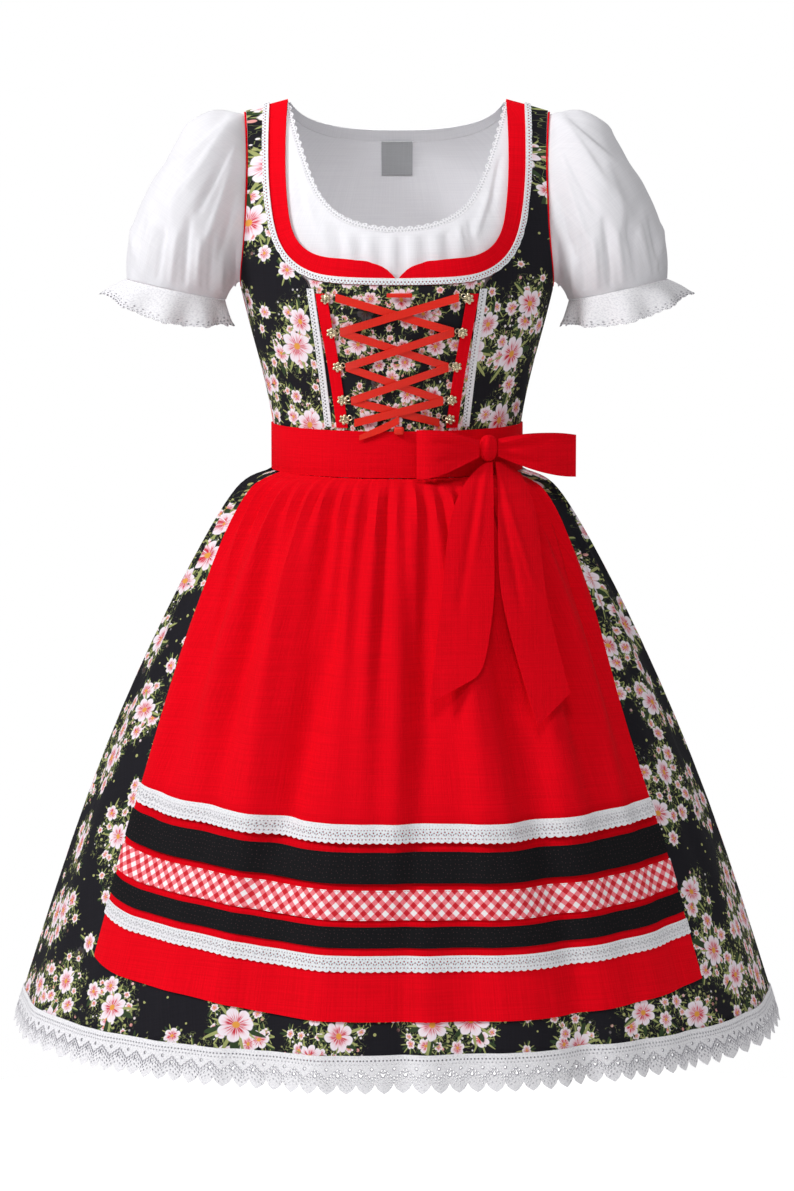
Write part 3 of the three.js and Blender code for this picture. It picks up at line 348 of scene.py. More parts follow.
@dataclass(frozen=True)
class FloralCotton:
    """Dark cotton printed with bunches of flowers, sprigs and buds."""

    name: str
    flowers: tuple[Blossoms, ...]
    bunch: float = 0.036
    ground: tuple[int, int, int] = (34, 33, 39)
    shade: tuple[int, int, int] = (22, 21, 26)
    leaf_dark: tuple[int, int, int] = (52, 68, 44)
    leaf_light: tuple[int, int, int] = (158, 164, 104)
    vein: tuple[int, int, int] = (204, 44, 62)
    heart: tuple[int, int, int] = (226, 158, 70)
    bud_white: tuple[int, int, int] = (236, 230, 232)
    bud_pink: tuple[int, int, int] = (222, 156, 150)
    bud_green: tuple[int, int, int] = (170, 172, 112)

    def scatter(self, recipe: Recipe, where: Socket, cell: float, spread: float) -> tuple[Socket, Socket]:
        """Scatters motif centres over the cut.

        Args:
            recipe: the material's recipe.
            where: place that it reads.
            cell: mean distance between centres.
            spread: how uneven they lie, 0 to 1.

        Returns:
            The nearest centre and that centre's chance colour.
        """
        feeds = {"Vector": where, "Scale": 1 / cell, "Randomness": spread}
        cells = recipe.put("ShaderNodeTexVoronoi", feeds, voronoi_dimensions="2D", feature="F1")
        return cells.outputs["Position"], cells.outputs["Color"]

    def bunched(self, recipe: Recipe, where: Socket) -> Socket:
        """How much a place lies in a bunch, which each largest flower heads.

        Args:
            recipe: the material's recipe.
            where: place on the cut.

        Returns:
            1 in a bunch and 0 outside.
        """
        head = self.flowers[-1]
        place = recipe.vector("ADD", where, head.shift)
        centre, chance = self.scatter(recipe, place, head.cell, head.spread)
        reach = recipe.vector("LENGTH", recipe.vector("SUBTRACT", place, centre))
        here = recipe.step(recipe.split(chance)[2], head.in_bunch + 0.01, head.in_bunch)
        return recipe.times(recipe.step(reach, self.bunch, self.bunch * 0.8), here)

    def sprigs(self, recipe: Recipe, ground: Socket) -> Socket:
        """Thin stems and tiny buds in the bunches.

        Args:
            recipe: the material's recipe.
            ground: colour under them.

        Returns:
            The colour with them on it.
        """
        where = recipe.cut()
        warp = recipe.times(recipe.less(recipe.noise(where, 55.0, 2.0), 0.5), 0.05)
        cluster = self.bunched(recipe, recipe.vector("ADD", where, recipe.join(warp, warp)))
        lines = recipe.maths("ABSOLUTE", recipe.less(recipe.noise(where, 170.0, 1.0), 0.5))
        stem = recipe.times(recipe.step(lines, 0.018, 0.008), cluster)
        greens = recipe.blend(recipe.noise(where, 160.0), dye(*self.leaf_dark), dye(*self.leaf_light))
        colour = recipe.blend(stem, ground, greens)
        place = recipe.vector("ADD", where, (0.37, 0.71, 0.0))
        centre, chance = self.scatter(recipe, place, 0.0062, 0.9)
        red, green, _ = recipe.split(chance)
        size = recipe.times(recipe.plus(red, 0.7), 0.0011)
        reach = recipe.vector("LENGTH", recipe.vector("SUBTRACT", place, centre))
        bud = recipe.step(recipe.less(reach, size), 0.0002, -0.0002)
        kept = recipe.times(recipe.step(green, 0.5, 0.52), cluster)
        kept = recipe.maths("MAXIMUM", kept, recipe.step(green, 0.955, 0.96))
        tint = recipe.blend(recipe.step(red, 0.5, 0.9), dye(*self.bud_white), dye(*self.bud_pink))
        tint = recipe.blend(recipe.step(green, 0.68, 0.7), tint, dye(*self.bud_green))
        return recipe.blend(recipe.times(bud, kept), colour, tint)

    def flower(self, recipe: Recipe, under: Socket, kind: Blossoms) -> Socket:
        """Lays one size of flower with its leaves over the print.

        Args:
            recipe: the material's recipe.
            under: colour under the flowers.
            kind: the flower's sizes and dyes.

        Returns:
            The colour with the flowers on it.
        """
        place = recipe.vector("ADD", recipe.cut(), kind.shift)
        centre, chance = self.scatter(recipe, place, kind.cell, kind.spread)
        local = recipe.vector("SUBTRACT", place, centre)
        red, green, blue = recipe.split(chance)
        feeds = {"Vector": local, "Angle": recipe.times(red, 2 * math.pi)}
        turned = recipe.put("ShaderNodeVectorRotate", feeds, rotation_type="Z_AXIS").outputs[0]
        squash = recipe.vector("MULTIPLY", turned, (1.0, 1.16, 1.0))
        x, y, _ = recipe.split(squash)
        angle = recipe.maths("ARCTAN2", y, x)
        size = recipe.times(self.scaled(recipe, green), kind.radius)
        near = recipe.maths("DIVIDE", recipe.vector("LENGTH", squash), size)
        bunched = self.bunched(recipe, recipe.vector("SUBTRACT", centre, kind.shift))
        share = recipe.times(bunched, kind.in_bunch - kind.alone)
        limit = recipe.plus(share, kind.alone)
        here = recipe.step(recipe.less(blue, limit), 0.01, 0.0)
        seed = recipe.times(red, 40.0)
        round_about = recipe.join(recipe.maths("COSINE", angle), recipe.maths("SINE", angle), seed)
        ripple = recipe.noise(round_about, 1.9, 2.0)
        colour = self.leaves(recipe, under, angle, near, ripple, here, kind.leaf_reach)
        lobe = recipe.maths("ABSOLUTE", recipe.maths("COSINE", recipe.times(angle, kind.petals / 2)))
        bend = recipe.maths("POWER", lobe, 0.42)
        edge = recipe.plus(recipe.times(bend, 0.42), recipe.times(ripple, 0.3))
        share = recipe.maths("DIVIDE", near, recipe.plus(edge, 0.42))
        shape = recipe.times(recipe.step(share, 1.02, 0.95), here)
        spokes = recipe.vector("MULTIPLY", round_about, (9.0, 9.0, 1.0))
        rays = recipe.noise(spokes, 1.3, 1.0)
        blush = recipe.times(recipe.step(share, 0.95, 0.2), recipe.step(rays, 0.3, 0.7))
        petal = recipe.blend(blush, dye(*kind.light), dye(*kind.deep))
        streak = recipe.times(recipe.step(share, 0.68, 0.42), recipe.step(rays, 0.42, 0.56))
        petal = recipe.blend(streak, petal, dye(*self.vein))
        gap = recipe.times(recipe.step(lobe, 0.24, 0.04), 0.7)
        petal = recipe.blend(gap, petal, dye(*kind.deep))
        petal = recipe.blend(recipe.step(near, 0.24, 0.15), petal, dye(*self.heart))
        return recipe.blend(shape, colour, petal)

    def scaled(self, recipe: Recipe, chance: Socket) -> Socket:
        """Size of one flower as a share of its kind's, by chance."""
        return recipe.plus(recipe.times(chance, 0.34), 0.72)

    def leaves(self, recipe: Recipe, under: Socket, angle: Socket, near: Socket, ripple: Socket,
               here: Socket, reach: float) -> Socket:
        """Pointed leaves that show round a flower.

        Args:
            recipe: the material's recipe.
            under: colour under them.
            angle: angle about the flower.
            near: distance as a share of the flower's size.
            ripple: unevenness round the flower.
            here: 1 where the flower is present.
            reach: the leaves' reach as a share of the flower's size.

        Returns:
            The colour with the leaves on it.
        """
        colour = under
        for count, narrow, tint in ((5, 5.0, self.leaf_dark), (9, 7.0, self.leaf_light)):
            turned = recipe.plus(angle, count * 0.37)
            spikes = recipe.maths("COSINE", recipe.times(turned, count / 2))
            thin = recipe.maths("POWER", recipe.maths("ABSOLUTE", spikes), narrow)
            longer = recipe.times(recipe.times(thin, ripple), reach * 2.2)
            shape = recipe.step(recipe.less(near, longer), 0.05, -0.05)
            colour = recipe.blend(recipe.times(shape, here), colour, dye(*tint))
        return colour

    def make(self) -> bpy.types.Material:
        """Builds the material.

        Returns:
            The finished material.
        """
        recipe = Recipe(self.name)
        slub = recipe.slubs()
        colour = self.sprigs(recipe, recipe.blend(slub, dye(*self.shade), dye(*self.ground)))
        for kind in self.flowers:
            colour = self.flower(recipe, colour, kind)
        recipe.set(Base_Color=colour, Roughness=0.9, Specular_IOR_Level=0.12)
        recipe.emboss(recipe.plus(recipe.threads(0.0007), slub), 0.0001, 0.5)
        return recipe.material


@dataclass(frozen=True)
class Gingham:
    """Red and white checks laid on the bias."""

    name: str
    period: float = 0.0099
    white: tuple[int, int, int] = (246, 238, 240)
    pink: tuple[int, int, int] = (238, 118, 128)
    red: tuple[int, int, int] = (206, 26, 40)

    def make(self) -> bpy.types.Material:
        """Builds the material.

        Returns:
            The finished material.
        """
        recipe = Recipe(self.name)
        feeds = {"Vector": recipe.cut(), "Angle": math.radians(45)}
        bias = recipe.put("ShaderNodeVectorRotate", feeds, rotation_type="Z_AXIS").outputs[0]
        x, y, _ = recipe.split(bias)
        stripes = []
        for side in (x, y):
            wave = recipe.maths("SINE", recipe.times(side, 2 * math.pi / self.period))
            stripes.append(recipe.step(wave, -0.16, 0.16))
        both = recipe.times(recipe.plus(stripes[0], stripes[1]), 0.5)
        yarn = recipe.times(recipe.less(recipe.slubs(), 0.5), 0.5)
        share = recipe.maths("ADD", both, yarn, True)
        colour = recipe.blend(recipe.step(share, 0.0, 0.55), dye(*self.white), dye(*self.pink))
        colour = recipe.blend(recipe.step(share, 0.5, 1.0), colour, dye(*self.red))
        recipe.set(Base_Color=colour, Roughness=0.82, Sheen_Weight=0.08, Specular_IOR_Level=0.25)
        recipe.emboss(recipe.threads(0.0009), 0.0001, 0.6)
        return recipe.material


@dataclass(frozen=True)
class Eyelets:
    """A row of small holes in lace, in millimetres from the worked edge."""

    height: float
    pitch: float
    radius: float
    zigzag: float = 0.0
    repeat: float = 1.0
    stagger: float = 0.0


@dataclass(frozen=True)
class Lace:
    """White cotton lace with rows of eyelets, painted shade round them, and a raised edge."""

    name: str
    rows: tuple[Eyelets, ...]
    ridges: float = 0.0016
    # Painted shade: the grey laid round each hole stands in for the shadow seen through it.
    shade: tuple[int, int, int] = (150, 148, 158)
    deep: tuple[int, int, int] = (216, 215, 220)
    light: tuple[int, int, int] = (238, 237, 240)

    def make(self) -> bpy.types.Material:
        """Builds the material.

        Returns:
            The finished material.
        """
        recipe = Recipe(self.name)
        along, up, _ = recipe.split(recipe.cut())
        near: Socket | None = None
        for row in self.rows:
            reach = self.eyelet(recipe, along, up, row)
            near = reach if near is None else recipe.maths("MINIMUM", near, reach)
        knots = recipe.noise(recipe.cut(), 620.0, 2.0)
        colour = recipe.blend(recipe.step(knots, 0.3, 0.6), dye(*self.deep), dye(*self.light))
        # Painted shade round the holes, darkest at their rims, standing in for the shadow behind the lace.
        colour = recipe.blend(recipe.step(near, 1.9, 1.0), colour, dye(*self.shade))
        holes = recipe.step(near, 1.1, 0.85)
        recipe.set(Base_Color=colour, Roughness=0.9, Specular_IOR_Level=0.1)
        recipe.set(Alpha=recipe.maths("SUBTRACT", 1.0, holes, True))
        cord = recipe.maths("SINE", recipe.times(up, 2 * math.pi / self.ridges))
        relief = recipe.plus(knots, recipe.times(cord, 0.2))
        recipe.emboss(relief, 0.0002, 0.7)
        return recipe.material

    def eyelet(self, recipe: Recipe, along: Socket, up: Socket, row: Eyelets) -> Socket:
        """Distance from one row of holes.

        Args:
            recipe: the material's recipe.
            along: distance along the lace.
            up: distance from the worked edge.
            row: the row's sizes.

        Returns:
            Distance from the nearest hole's middle as a share of its radius.
        """
        pitch = row.pitch * MM
        steps = recipe.plus(recipe.maths("DIVIDE", along, pitch), row.stagger)
        offset = recipe.times(recipe.less(recipe.maths("FRACT", steps), 0.5), pitch)
        base: Feed = row.height * MM
        if row.zigzag:
            swing = recipe.maths("PINGPONG", along, row.repeat * MM / 2)
            base = recipe.plus(recipe.times(swing, 2 * row.zigzag / row.repeat), base)
        lift = recipe.less(up, base)
        reach = recipe.vector("LENGTH", recipe.join(offset, lift))
        return recipe.maths("DIVIDE", reach, row.radius * MM)


@dataclass(frozen=True)
class DottedRibbon:
    """Black ribbon with faint pin dots."""

    name: str
    pitch: float = 0.0042
    deep: tuple[int, int, int] = (12, 12, 14)
    light: tuple[int, int, int] = (26, 26, 29)
    dot: tuple[int, int, int] = (118, 82, 84)

    def make(self) -> bpy.types.Material:
        """Builds the material.

        Returns:
            The finished material.
        """
        recipe = Recipe(self.name)
        feeds = {"Vector": recipe.cut(), "Scale": 1 / self.pitch, "Randomness": 0.6}
        dots = recipe.put("ShaderNodeTexVoronoi", feeds, voronoi_dimensions="2D", feature="F1").outputs[0]
        mark = recipe.times(recipe.step(dots, 0.12, 0.06), 0.32)
        ground = recipe.blend(recipe.slubs(), dye(*self.deep), dye(*self.light))
        recipe.set(Base_Color=recipe.blend(mark, ground, dye(*self.dot)))
        recipe.set(Roughness=0.85, Specular_IOR_Level=0.12)
        recipe.emboss(recipe.threads(0.0009), 0.0001, 0.6)
        return recipe.material


@dataclass(frozen=True)
class Satin:
    """Smooth satin ribbon with a fine rib along it."""

    name: str
    light: tuple[int, int, int] = (242, 44, 22)
    deep: tuple[int, int, int] = (206, 24, 12)

    def make(self) -> bpy.types.Material:
        """Builds the material.

        Returns:
            The finished material.
        """
        recipe = Recipe(self.name)
        yarn = recipe.slubs(10.0, 1500.0)
        recipe.set(Base_Color=recipe.blend(yarn, dye(*self.deep), dye(*self.light)))
        recipe.set(Roughness=0.42, Specular_IOR_Level=0.35)
        recipe.emboss(yarn, 0.00006, 0.5)
        return recipe.material


@dataclass(frozen=True)
class CastMetal:
    """Antique pale gold, darker in random patches."""

    name: str
    light: tuple[int, int, int] = (240, 228, 196)
    deep: tuple[int, int, int] = (142, 118, 80)
    roughness: float = 0.3

    def make(self) -> bpy.types.Material:
        """Builds the material.

        Returns:
            The finished material.
        """
        recipe = Recipe(self.name)
        grain = recipe.noise(recipe.place(), 900.0, 3.0)
        recipe.set(Base_Color=recipe.blend(recipe.step(grain, 0.3, 0.6), dye(*self.deep), dye(*self.light)))
        recipe.set(Metallic=1.0, Roughness=self.roughness)
        recipe.emboss(grain, 0.0003, 0.6)
        return recipe.material


@dataclass(frozen=True)
class ClearStone:
    """Small clear set stones."""

    name: str

    def make(self) -> bpy.types.Material:
        """Builds the material.

        Returns:
            The finished material.
        """
        recipe = Recipe(self.name)
        facets = recipe.put("ShaderNodeTexVoronoi", {"Vector": recipe.place(), "Scale": 900.0}).outputs[1]
        recipe.set(Base_Color=recipe.blend(0.35, dye(236, 232, 226), facets), Roughness=0.08)
        recipe.set(Metallic=0.35, Coat_Weight=1.0)
        return recipe.material


class Finish(Enum):
    """Names of the set's finishes."""

    FLORAL = "floral_cotton"
    FLORAL_MIDDLE = "floral_cotton_middle"
    RED = "red_cotton"
    WHITE = "white_cotton"
    HEM_LACE = "cotton_lace_hem"
    APRON_LACE = "cotton_lace_apron"
    BRAID = "cotton_braid"
    NECK_LACE = "cotton_lace_neck"
    FRILL = "white_cotton_frill"
    BLACK = "black_ribbon"
    GINGHAM = "gingham_cotton"
    SATIN = "satin_ribbon"
    METAL = "hook_metal"
    COPPER = "ring_metal"
    STONE = "clear_stone"
    LABEL = "label_cloth"


SKIRT_FLOWERS = (
    Blossoms(0.019, 0.0056, 5, 0.8, (0.11, 0.23, 0.0), (240, 230, 234), (226, 136, 146), 1.8, 0.8, 0.09),
    Blossoms(0.029, 0.0112, 6, 0.75, (0.53, 0.31, 0.0), (240, 230, 237), (226, 122, 140), 1.45, 0.95, 0.1),
    Blossoms(0.066, 0.0192, 7, 0.7, (0.27, 0.83, 0.0), (240, 230, 238), (228, 118, 140), 1.3, 0.92, 0.92),
)
MIDDLE_FLOWERS = (
    Blossoms(0.0125, 0.0045, 5, 0.8, (0.15, 0.43, 0.0), (242, 214, 218), (226, 120, 132), 1.6, 0.75, 0.35),
    Blossoms(0.022, 0.0092, 6, 0.75, (0.61, 0.37, 0.0), (242, 222, 228), (224, 104, 126), 1.4, 0.85, 0.3),
    Blossoms(0.042, 0.0125, 7, 0.7, (0.77, 0.19, 0.0), (240, 224, 232), (226, 110, 132), 1.4, 0.85, 0.85),
)
HEM_ROWS = (
    Eyelets(31.5, 3.7, 0.6), Eyelets(28.2, 3.7, 0.5, stagger=0.5), Eyelets(23.6, 22.0, 1.2, stagger=0.5),
    Eyelets(14.6, 3.1, 0.95, zigzag=8.6, repeat=22.0), Eyelets(11.4, 3.1, 0.75, zigzag=8.6, repeat=22.0),
    Eyelets(8.4, 3.67, 0.6, zigzag=7.6, repeat=22.0), Eyelets(17.6, 22.0, 1.5, stagger=0.0),
    Eyelets(5.2, 3.67, 0.55, stagger=0.5, zigzag=6.0, repeat=22.0),
)
FRILL_ROWS = (Eyelets(2.0, 3.2, 0.62), Eyelets(4.6, 3.2, 0.45, stagger=0.5), Eyelets(7.2, 6.4, 0.5))
APRON_ROWS = (
    Eyelets(13.2, 3.0, 0.42), Eyelets(7.2, 2.4, 0.55, zigzag=2.6, repeat=7.2),
    Eyelets(4.6, 3.6, 0.5, stagger=0.5), Eyelets(10.6, 7.2, 0.62, stagger=0.5),
)
BRAID_ROWS = (Eyelets(4.2, 3.6, 0.6), Eyelets(2.2, 3.6, 0.42, stagger=0.5))
NECK_ROWS = (Eyelets(2.8, 3.4, 0.5), Eyelets(5.6, 3.4, 0.55, stagger=0.5))


class Dyes:
    """The set's materials, each made once."""

    def __init__(self) -> None:
        """Makes every material."""
        makers = {
            Finish.FLORAL: FloralCotton("floral_cotton", SKIRT_FLOWERS),
            Finish.FLORAL_MIDDLE: FloralCotton("floral_cotton_middle", MIDDLE_FLOWERS, 0.022),
            Finish.RED: PlainCotton("red_cotton", (238, 0, 24), (214, 0, 17), sheen=0.0),
            Finish.WHITE: PlainCotton("white_cotton", (236, 235, 239), (227, 226, 231), 0.0006, 0.00006, sheen=0.0),
            Finish.FRILL: Lace("white_cotton_frill", FRILL_ROWS, 0.0011),
            Finish.HEM_LACE: Lace("cotton_lace_hem", HEM_ROWS),
            Finish.APRON_LACE: Lace("cotton_lace_apron", APRON_ROWS, 0.0012),
            Finish.BRAID: Lace("cotton_braid", BRAID_ROWS, 0.0014),
            Finish.NECK_LACE: Lace("cotton_lace_neck", NECK_ROWS, 0.0012),
            Finish.BLACK: DottedRibbon("black_ribbon"),
            Finish.GINGHAM: Gingham("gingham_cotton"),
            Finish.SATIN: Satin("satin_ribbon"),
            Finish.METAL: CastMetal("hook_metal"),
            Finish.COPPER: CastMetal("ring_metal", (220, 140, 90), (130, 66, 40), 0.25),
            Finish.STONE: ClearStone("clear_stone"),
            Finish.LABEL: PlainCotton("label_cloth", (176, 177, 180), (164, 165, 168), 0.0006, 0.00008),
        }
        self.made = {finish: maker.make() for finish, maker in makers.items()}

    def dress(self, piece: bpy.types.Object, *finishes: Finish) -> None:
        """Gives a piece its materials.

        Args:
            piece: the piece.
            finishes: its finishes, the main one first.
        """
        piece.data.materials.clear()
        for finish in finishes:
            piece.data.materials.append(self.made[finish])


class Fade(Enum):
    """How the depth of a fold runs from its top to its foot."""

    DOWN = "down"
    BOTH = "both"
    UP = "up"


@dataclass(frozen=True)
class Fold:
    """Soft upright ridge or trough on a round piece, placed by its angle in degrees."""

    angle: float
    top: float
    foot: float
    width: float
    depth: float
    lean: float = 0.0
    fade: Fade = Fade.DOWN

    def rise(self, angles: np.ndarray, heights: np.ndarray) -> np.ndarray:
        """Rise at each point.

        Args:
            angles: angles in degrees.
            heights: heights in millimetres.

        Returns:
            Rise in millimetres.
        """
        share = np.clip((self.top - heights) / (self.top - self.foot), 0, 1)
        gap = (angles - self.angle - self.lean * share) / self.width
        fades = {Fade.DOWN: (1 - share) ** 1.4, Fade.BOTH: np.sin(np.pi * share) ** 1.2, Fade.UP: share ** 1.3}
        return self.depth * np.exp(-gap * gap) * fades[self.fade]


@dataclass(frozen=True)
class Crease:
    """Soft line between two points seen from the front, in millimetres."""

    start: tuple[float, float]
    end: tuple[float, float]
    width: float
    depth: float

    def rise(self, sides: np.ndarray, heights: np.ndarray) -> np.ndarray:
        """Rise at each point.

        Args:
            sides: distances to the right in millimetres.
            heights: heights in millimetres.

        Returns:
            Rise in millimetres.
        """
        run = (self.end[0] - self.start[0], self.end[1] - self.start[1])
        size = run[0] ** 2 + run[1] ** 2
        share = ((sides - self.start[0]) * run[0] + (heights - self.start[1]) * run[1]) / size
        held = np.clip(share, 0, 1)
        away = np.hypot(sides - self.start[0] - held * run[0], heights - self.start[1] - held * run[1])
        swell = np.clip(4 * held * (1 - held), 0, 1) ** 0.5 * 0.75 + 0.25
        return self.depth * np.exp(-((away / self.width) ** 2)) * swell


@dataclass(frozen=True)
class Axis:
    """Line that a piece's outer face looks away from, in millimetres."""

    start: tuple[float, float, float] = (0.0, 0.0, 0.0)
    end: tuple[float, float, float] = (0.0, 0.0, -1000.0)

    def away(self, points: np.ndarray) -> np.ndarray:
        """Unit directions from the line to each point.

        Args:
            points: points in millimetres.

        Returns:
            One direction a point.
        """
        start = np.array(self.start)
        run = np.array(self.end) - start
        share = (points - start) @ run / (run @ run)
        out = points - start - share[:, None] * run
        return out / np.maximum(np.linalg.norm(out, axis=1), 0.001)[:, None]


BODY_AXIS = Axis()
FRONT_FACE = Axis((0.0, 9000.0, 0.0), (0.0, 9000.0, -1000.0))


@dataclass
class Strip:
    """Each point's distance along and from a strip's middle line, the way from it, and half its width."""

    along: np.ndarray
    off: np.ndarray
    side: np.ndarray
    half: float


@dataclass
class Course:
    """Middle line of a strip, with the distance along it."""

    flat: np.ndarray
    length: np.ndarray

    @staticmethod
    def along(points: np.ndarray, key: np.ndarray, flat: np.ndarray, stations: int) -> "Course":
        """Finds the middle line of a strip.

        Args:
            points: the strip's points.
            key: a number for each that grows along the strip.
            flat: each point's place in the plane that the strip is measured in.
            stations: number of stations.

        Returns:
            The course.
        """
        edges = np.linspace(key.min() - 0.001, key.max() + 0.001, stations + 1)
        spot = np.clip(np.digitize(key, edges) - 1, 0, stations - 1)
        used = [k for k in range(stations) if np.any(spot == k)]
        flats = np.array([flat[spot == k].mean(axis=0) for k in used])
        solid = np.array([points[spot == k].mean(axis=0) for k in used])
        for line in (flats, solid):
            for _ in range(SMOOTHING_PASSES):
                line[1:-1] = (line[:-2] + 2 * line[1:-1] + line[2:]) / 4
        steps = np.linalg.norm(np.diff(solid, axis=0), axis=1)
        return Course(flats, np.concatenate([[0.0], np.cumsum(steps)]))

    def measure(self, flat: np.ndarray) -> Strip:
        """Distance along and from the line of each point.

        Args:
            flat: places in the plane.

        Returns:
            The measures, with distances from the line above 0 left of its run.
        """
        start, end = self.flat[:-1], self.flat[1:]
        run = end - start
        size = np.maximum((run ** 2).sum(axis=1), 0.000001)
        gap = flat[:, None, :] - start[None, :, :]
        share = (gap * run[None]).sum(axis=2) / size
        held = np.clip(share, 0, 1)
        held[:, 0] = np.minimum(share[:, 0], 1)
        held[:, -1] = np.maximum(share[:, -1], 0)
        off = gap - held[:, :, None] * run[None]
        near = (off ** 2).sum(axis=2).argmin(axis=1)
        rows = np.arange(len(flat))
        unit = run[near] / np.sqrt(size[near])[:, None]
        side = np.stack([-unit[:, 1], unit[:, 0]], axis=1)
        along = self.length[:-1][near] + held[rows, near] * np.diff(self.length)[near]
        away = (off[rows, near] * side).sum(axis=1)
        return Strip(along, away, side, np.percentile(np.abs(away), STRIP_SHARE))


class Cloth:
    """A piece of cloth grown from its solid: smooth, finely divided and ready for folds."""

    def __init__(self, frame: dict, node: str, level: int) -> None:
        """Copies and refines a solid.

        Args:
            frame: the loaded frame.
            node: name of the solid.
            level: how many times it is divided.
        """
        self.node = node
        made = bmesh.new()
        made.from_mesh(frame["nodes"][node].data)
        bmesh.ops.remove_doubles(made, verts=made.verts, dist=MERGE_GAP)
        bmesh.ops.join_triangles(
            made, faces=made.faces, angle_face_threshold=QUAD_ANGLE, angle_shape_threshold=QUAD_SHAPE)
        layer = made.edges.layers.float.new("crease_edge")
        for edge in made.edges:
            if edge.calc_face_angle(0.0) > EDGE_ANGLE:
                edge[layer] = 1.0
        mesh = bpy.data.meshes.new(node + "_cloth")
        made.to_mesh(mesh)
        made.free()
        rough = bpy.data.objects.new(node + "_rough", mesh)
        bpy.context.scene.collection.objects.link(rough)
        smooth = rough.modifiers.new("smooth", "SUBSURF")
        smooth.levels = smooth.render_levels = level
        grown = bpy.data.meshes.new_from_object(rough.evaluated_get(bpy.context.evaluated_depsgraph_get()))
        bpy.data.objects.remove(rough)
        grown.name = node + "_mesh"
        for name in ("custom_normal", "crease_edge"):
            if name in grown.attributes:
                grown.attributes.remove(grown.attributes[name])
        for layer_name in [uv.name for uv in grown.uv_layers]:
            grown.uv_layers.remove(grown.uv_layers[layer_name])
        self.piece = bpy.data.objects.new(node + "_look", grown)
        bpy.context.scene.collection.objects.link(self.piece)
        points = self.points
        points[np.abs(points[:, 1]) < HALF_GAP, 1] = 0.0
        self.points = points

    @property
    def points(self) -> np.ndarray:
        """Points of the piece.

        Returns:
            Three numbers a point, in millimetres.
        """
        flat = np.empty(len(self.piece.data.vertices) * 3)
        self.piece.data.vertices.foreach_get("co", flat)
        return flat.reshape(-1, 3) / MM

    @points.setter
    def points(self, points: np.ndarray) -> None:
        """Moves the piece's points."""
        self.piece.data.vertices.foreach_set("co", (points * MM).ravel())
        self.piece.data.update()

    def angles(self, back: bool) -> np.ndarray:
        """Angles round the body from the middle front or back, in degrees."""
        points = self.points
        return np.degrees(np.arctan2(points[:, 0], points[:, 1] if back else -points[:, 1]))

    def fold(self, folds: tuple[Fold, ...], back: bool = False) -> None:
        """Presses upright folds.

        Args:
            folds: the folds.
            back: whether their angles run from the middle back.
        """
        points = self.points
        angles = self.angles(back)
        rise = sum(f.rise(angles, points[:, 2]) for f in folds)
        self.points = points + BODY_AXIS.away(points) * rise[:, None]

    def crease(self, creases: tuple[Crease, ...], axis: Axis, mirrored: bool = False) -> None:
        """Presses creases that are placed as seen from the front.

        Args:
            creases: the creases.
            axis: line that the outer face looks away from.
            mirrored: whether they are placed for the other side.
        """
        points = self.points
        sides = -points[:, 0] if mirrored else points[:, 0]
        rise = sum(c.rise(sides, points[:, 2]) for c in creases)
        self.points = points + axis.away(points) * rise[:, None]

    def chart(self, places: np.ndarray) -> None:
        """Writes each point's place on the flat cut.

        Args:
            places: two numbers a point, in millimetres.
        """
        mesh = self.piece.data
        layer = mesh.uv_layers.new(name="cut")
        corners = np.empty(len(mesh.loops), dtype=np.int64)
        mesh.loops.foreach_get("vertex_index", corners)
        layer.data.foreach_set("uv", (places[corners] * MM).ravel())

    def seen(self) -> np.ndarray:
        """Each point's place as seen from the front."""
        points = self.points
        return np.stack([points[:, 0], points[:, 2]], axis=1)

    def unrolled(self, radius: float, back: bool = False) -> np.ndarray:
        """Each point's place on a drum of that radius that is rolled out."""
        return np.stack([np.radians(self.angles(back)) * radius, self.points[:, 2]], axis=1)

    def round_neck(self, middle: float, stations: int) -> Strip:
        """Measures a strip that runs round the neck.

        Args:
            middle: depth of the neck's middle below the shoulders.
            stations: number of stations along the strip.

        Returns:
            The measures.
        """
        points = self.points
        turn = np.degrees(np.arctan2(points[:, 0], -(points[:, 2] + middle)))
        flat = self.seen()
        return Course.along(points, turn, flat, stations).measure(flat)

    def shift(self, way: np.ndarray, size: np.ndarray) -> None:
        """Shifts the points as seen from the front.

        Args:
            way: each point's unit direction.
            size: how far each one moves.
        """
        points = self.points
        points[:, 0] += way[:, 0] * size
        points[:, 2] += way[:, 1] * size
        self.points = points

    def chart_round(self, radius: float, back: bool = False) -> None:
        """Lays the piece flat round a drum of that radius."""
        self.chart(self.unrolled(radius, back) + (BACK_START if back else np.zeros(2)))

    def chart_cone(self, waist: float, waist_radius: float, slope: float, back: bool) -> None:
        """Lays the piece flat as a cone's sector.

        Args:
            waist: height of the waist.
            waist_radius: radius there.
            slope: growth of the radius with each millimetre down.
            back: whether the piece is a back one.
        """
        share = slope / math.hypot(1.0, slope)
        reach = (waist_radius + slope * (waist - self.points[:, 2])) / share
        turn = np.radians(self.angles(back)) * share
        places = np.stack([reach * np.sin(turn), -reach * np.cos(turn)], axis=1)
        self.chart(places + (BACK_START if back else np.zeros(2)))

    def area(self) -> float:
        """Area of one face of the cloth in square metres."""
        return sum(face.area for face in self.piece.data.polygons) / 2

    def hand_over(self, dyes: Dyes, finish: Finish, drop: float) -> None:
        """Dresses the piece and lets it stand for its solid.

        Args:
            dyes: the materials.
            finish: the piece's finish.
            drop: length of what shows of its cut, in metres; not used, as it is only held at SHORTEST_CUT.
        """
        mesh = self.piece.data
        mesh.shade_smooth()
        mesh.set_sharp_from_angle(angle=EDGE_ANGLE)
        dyes.dress(self.piece, finish)
        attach(self.piece, "root")
        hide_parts(self.node)
        drop = max(drop, SHORTEST_CUT)
        log.info("%s: %d faces, %.4f m2", self.piece.name, len(mesh.polygons), self.area())


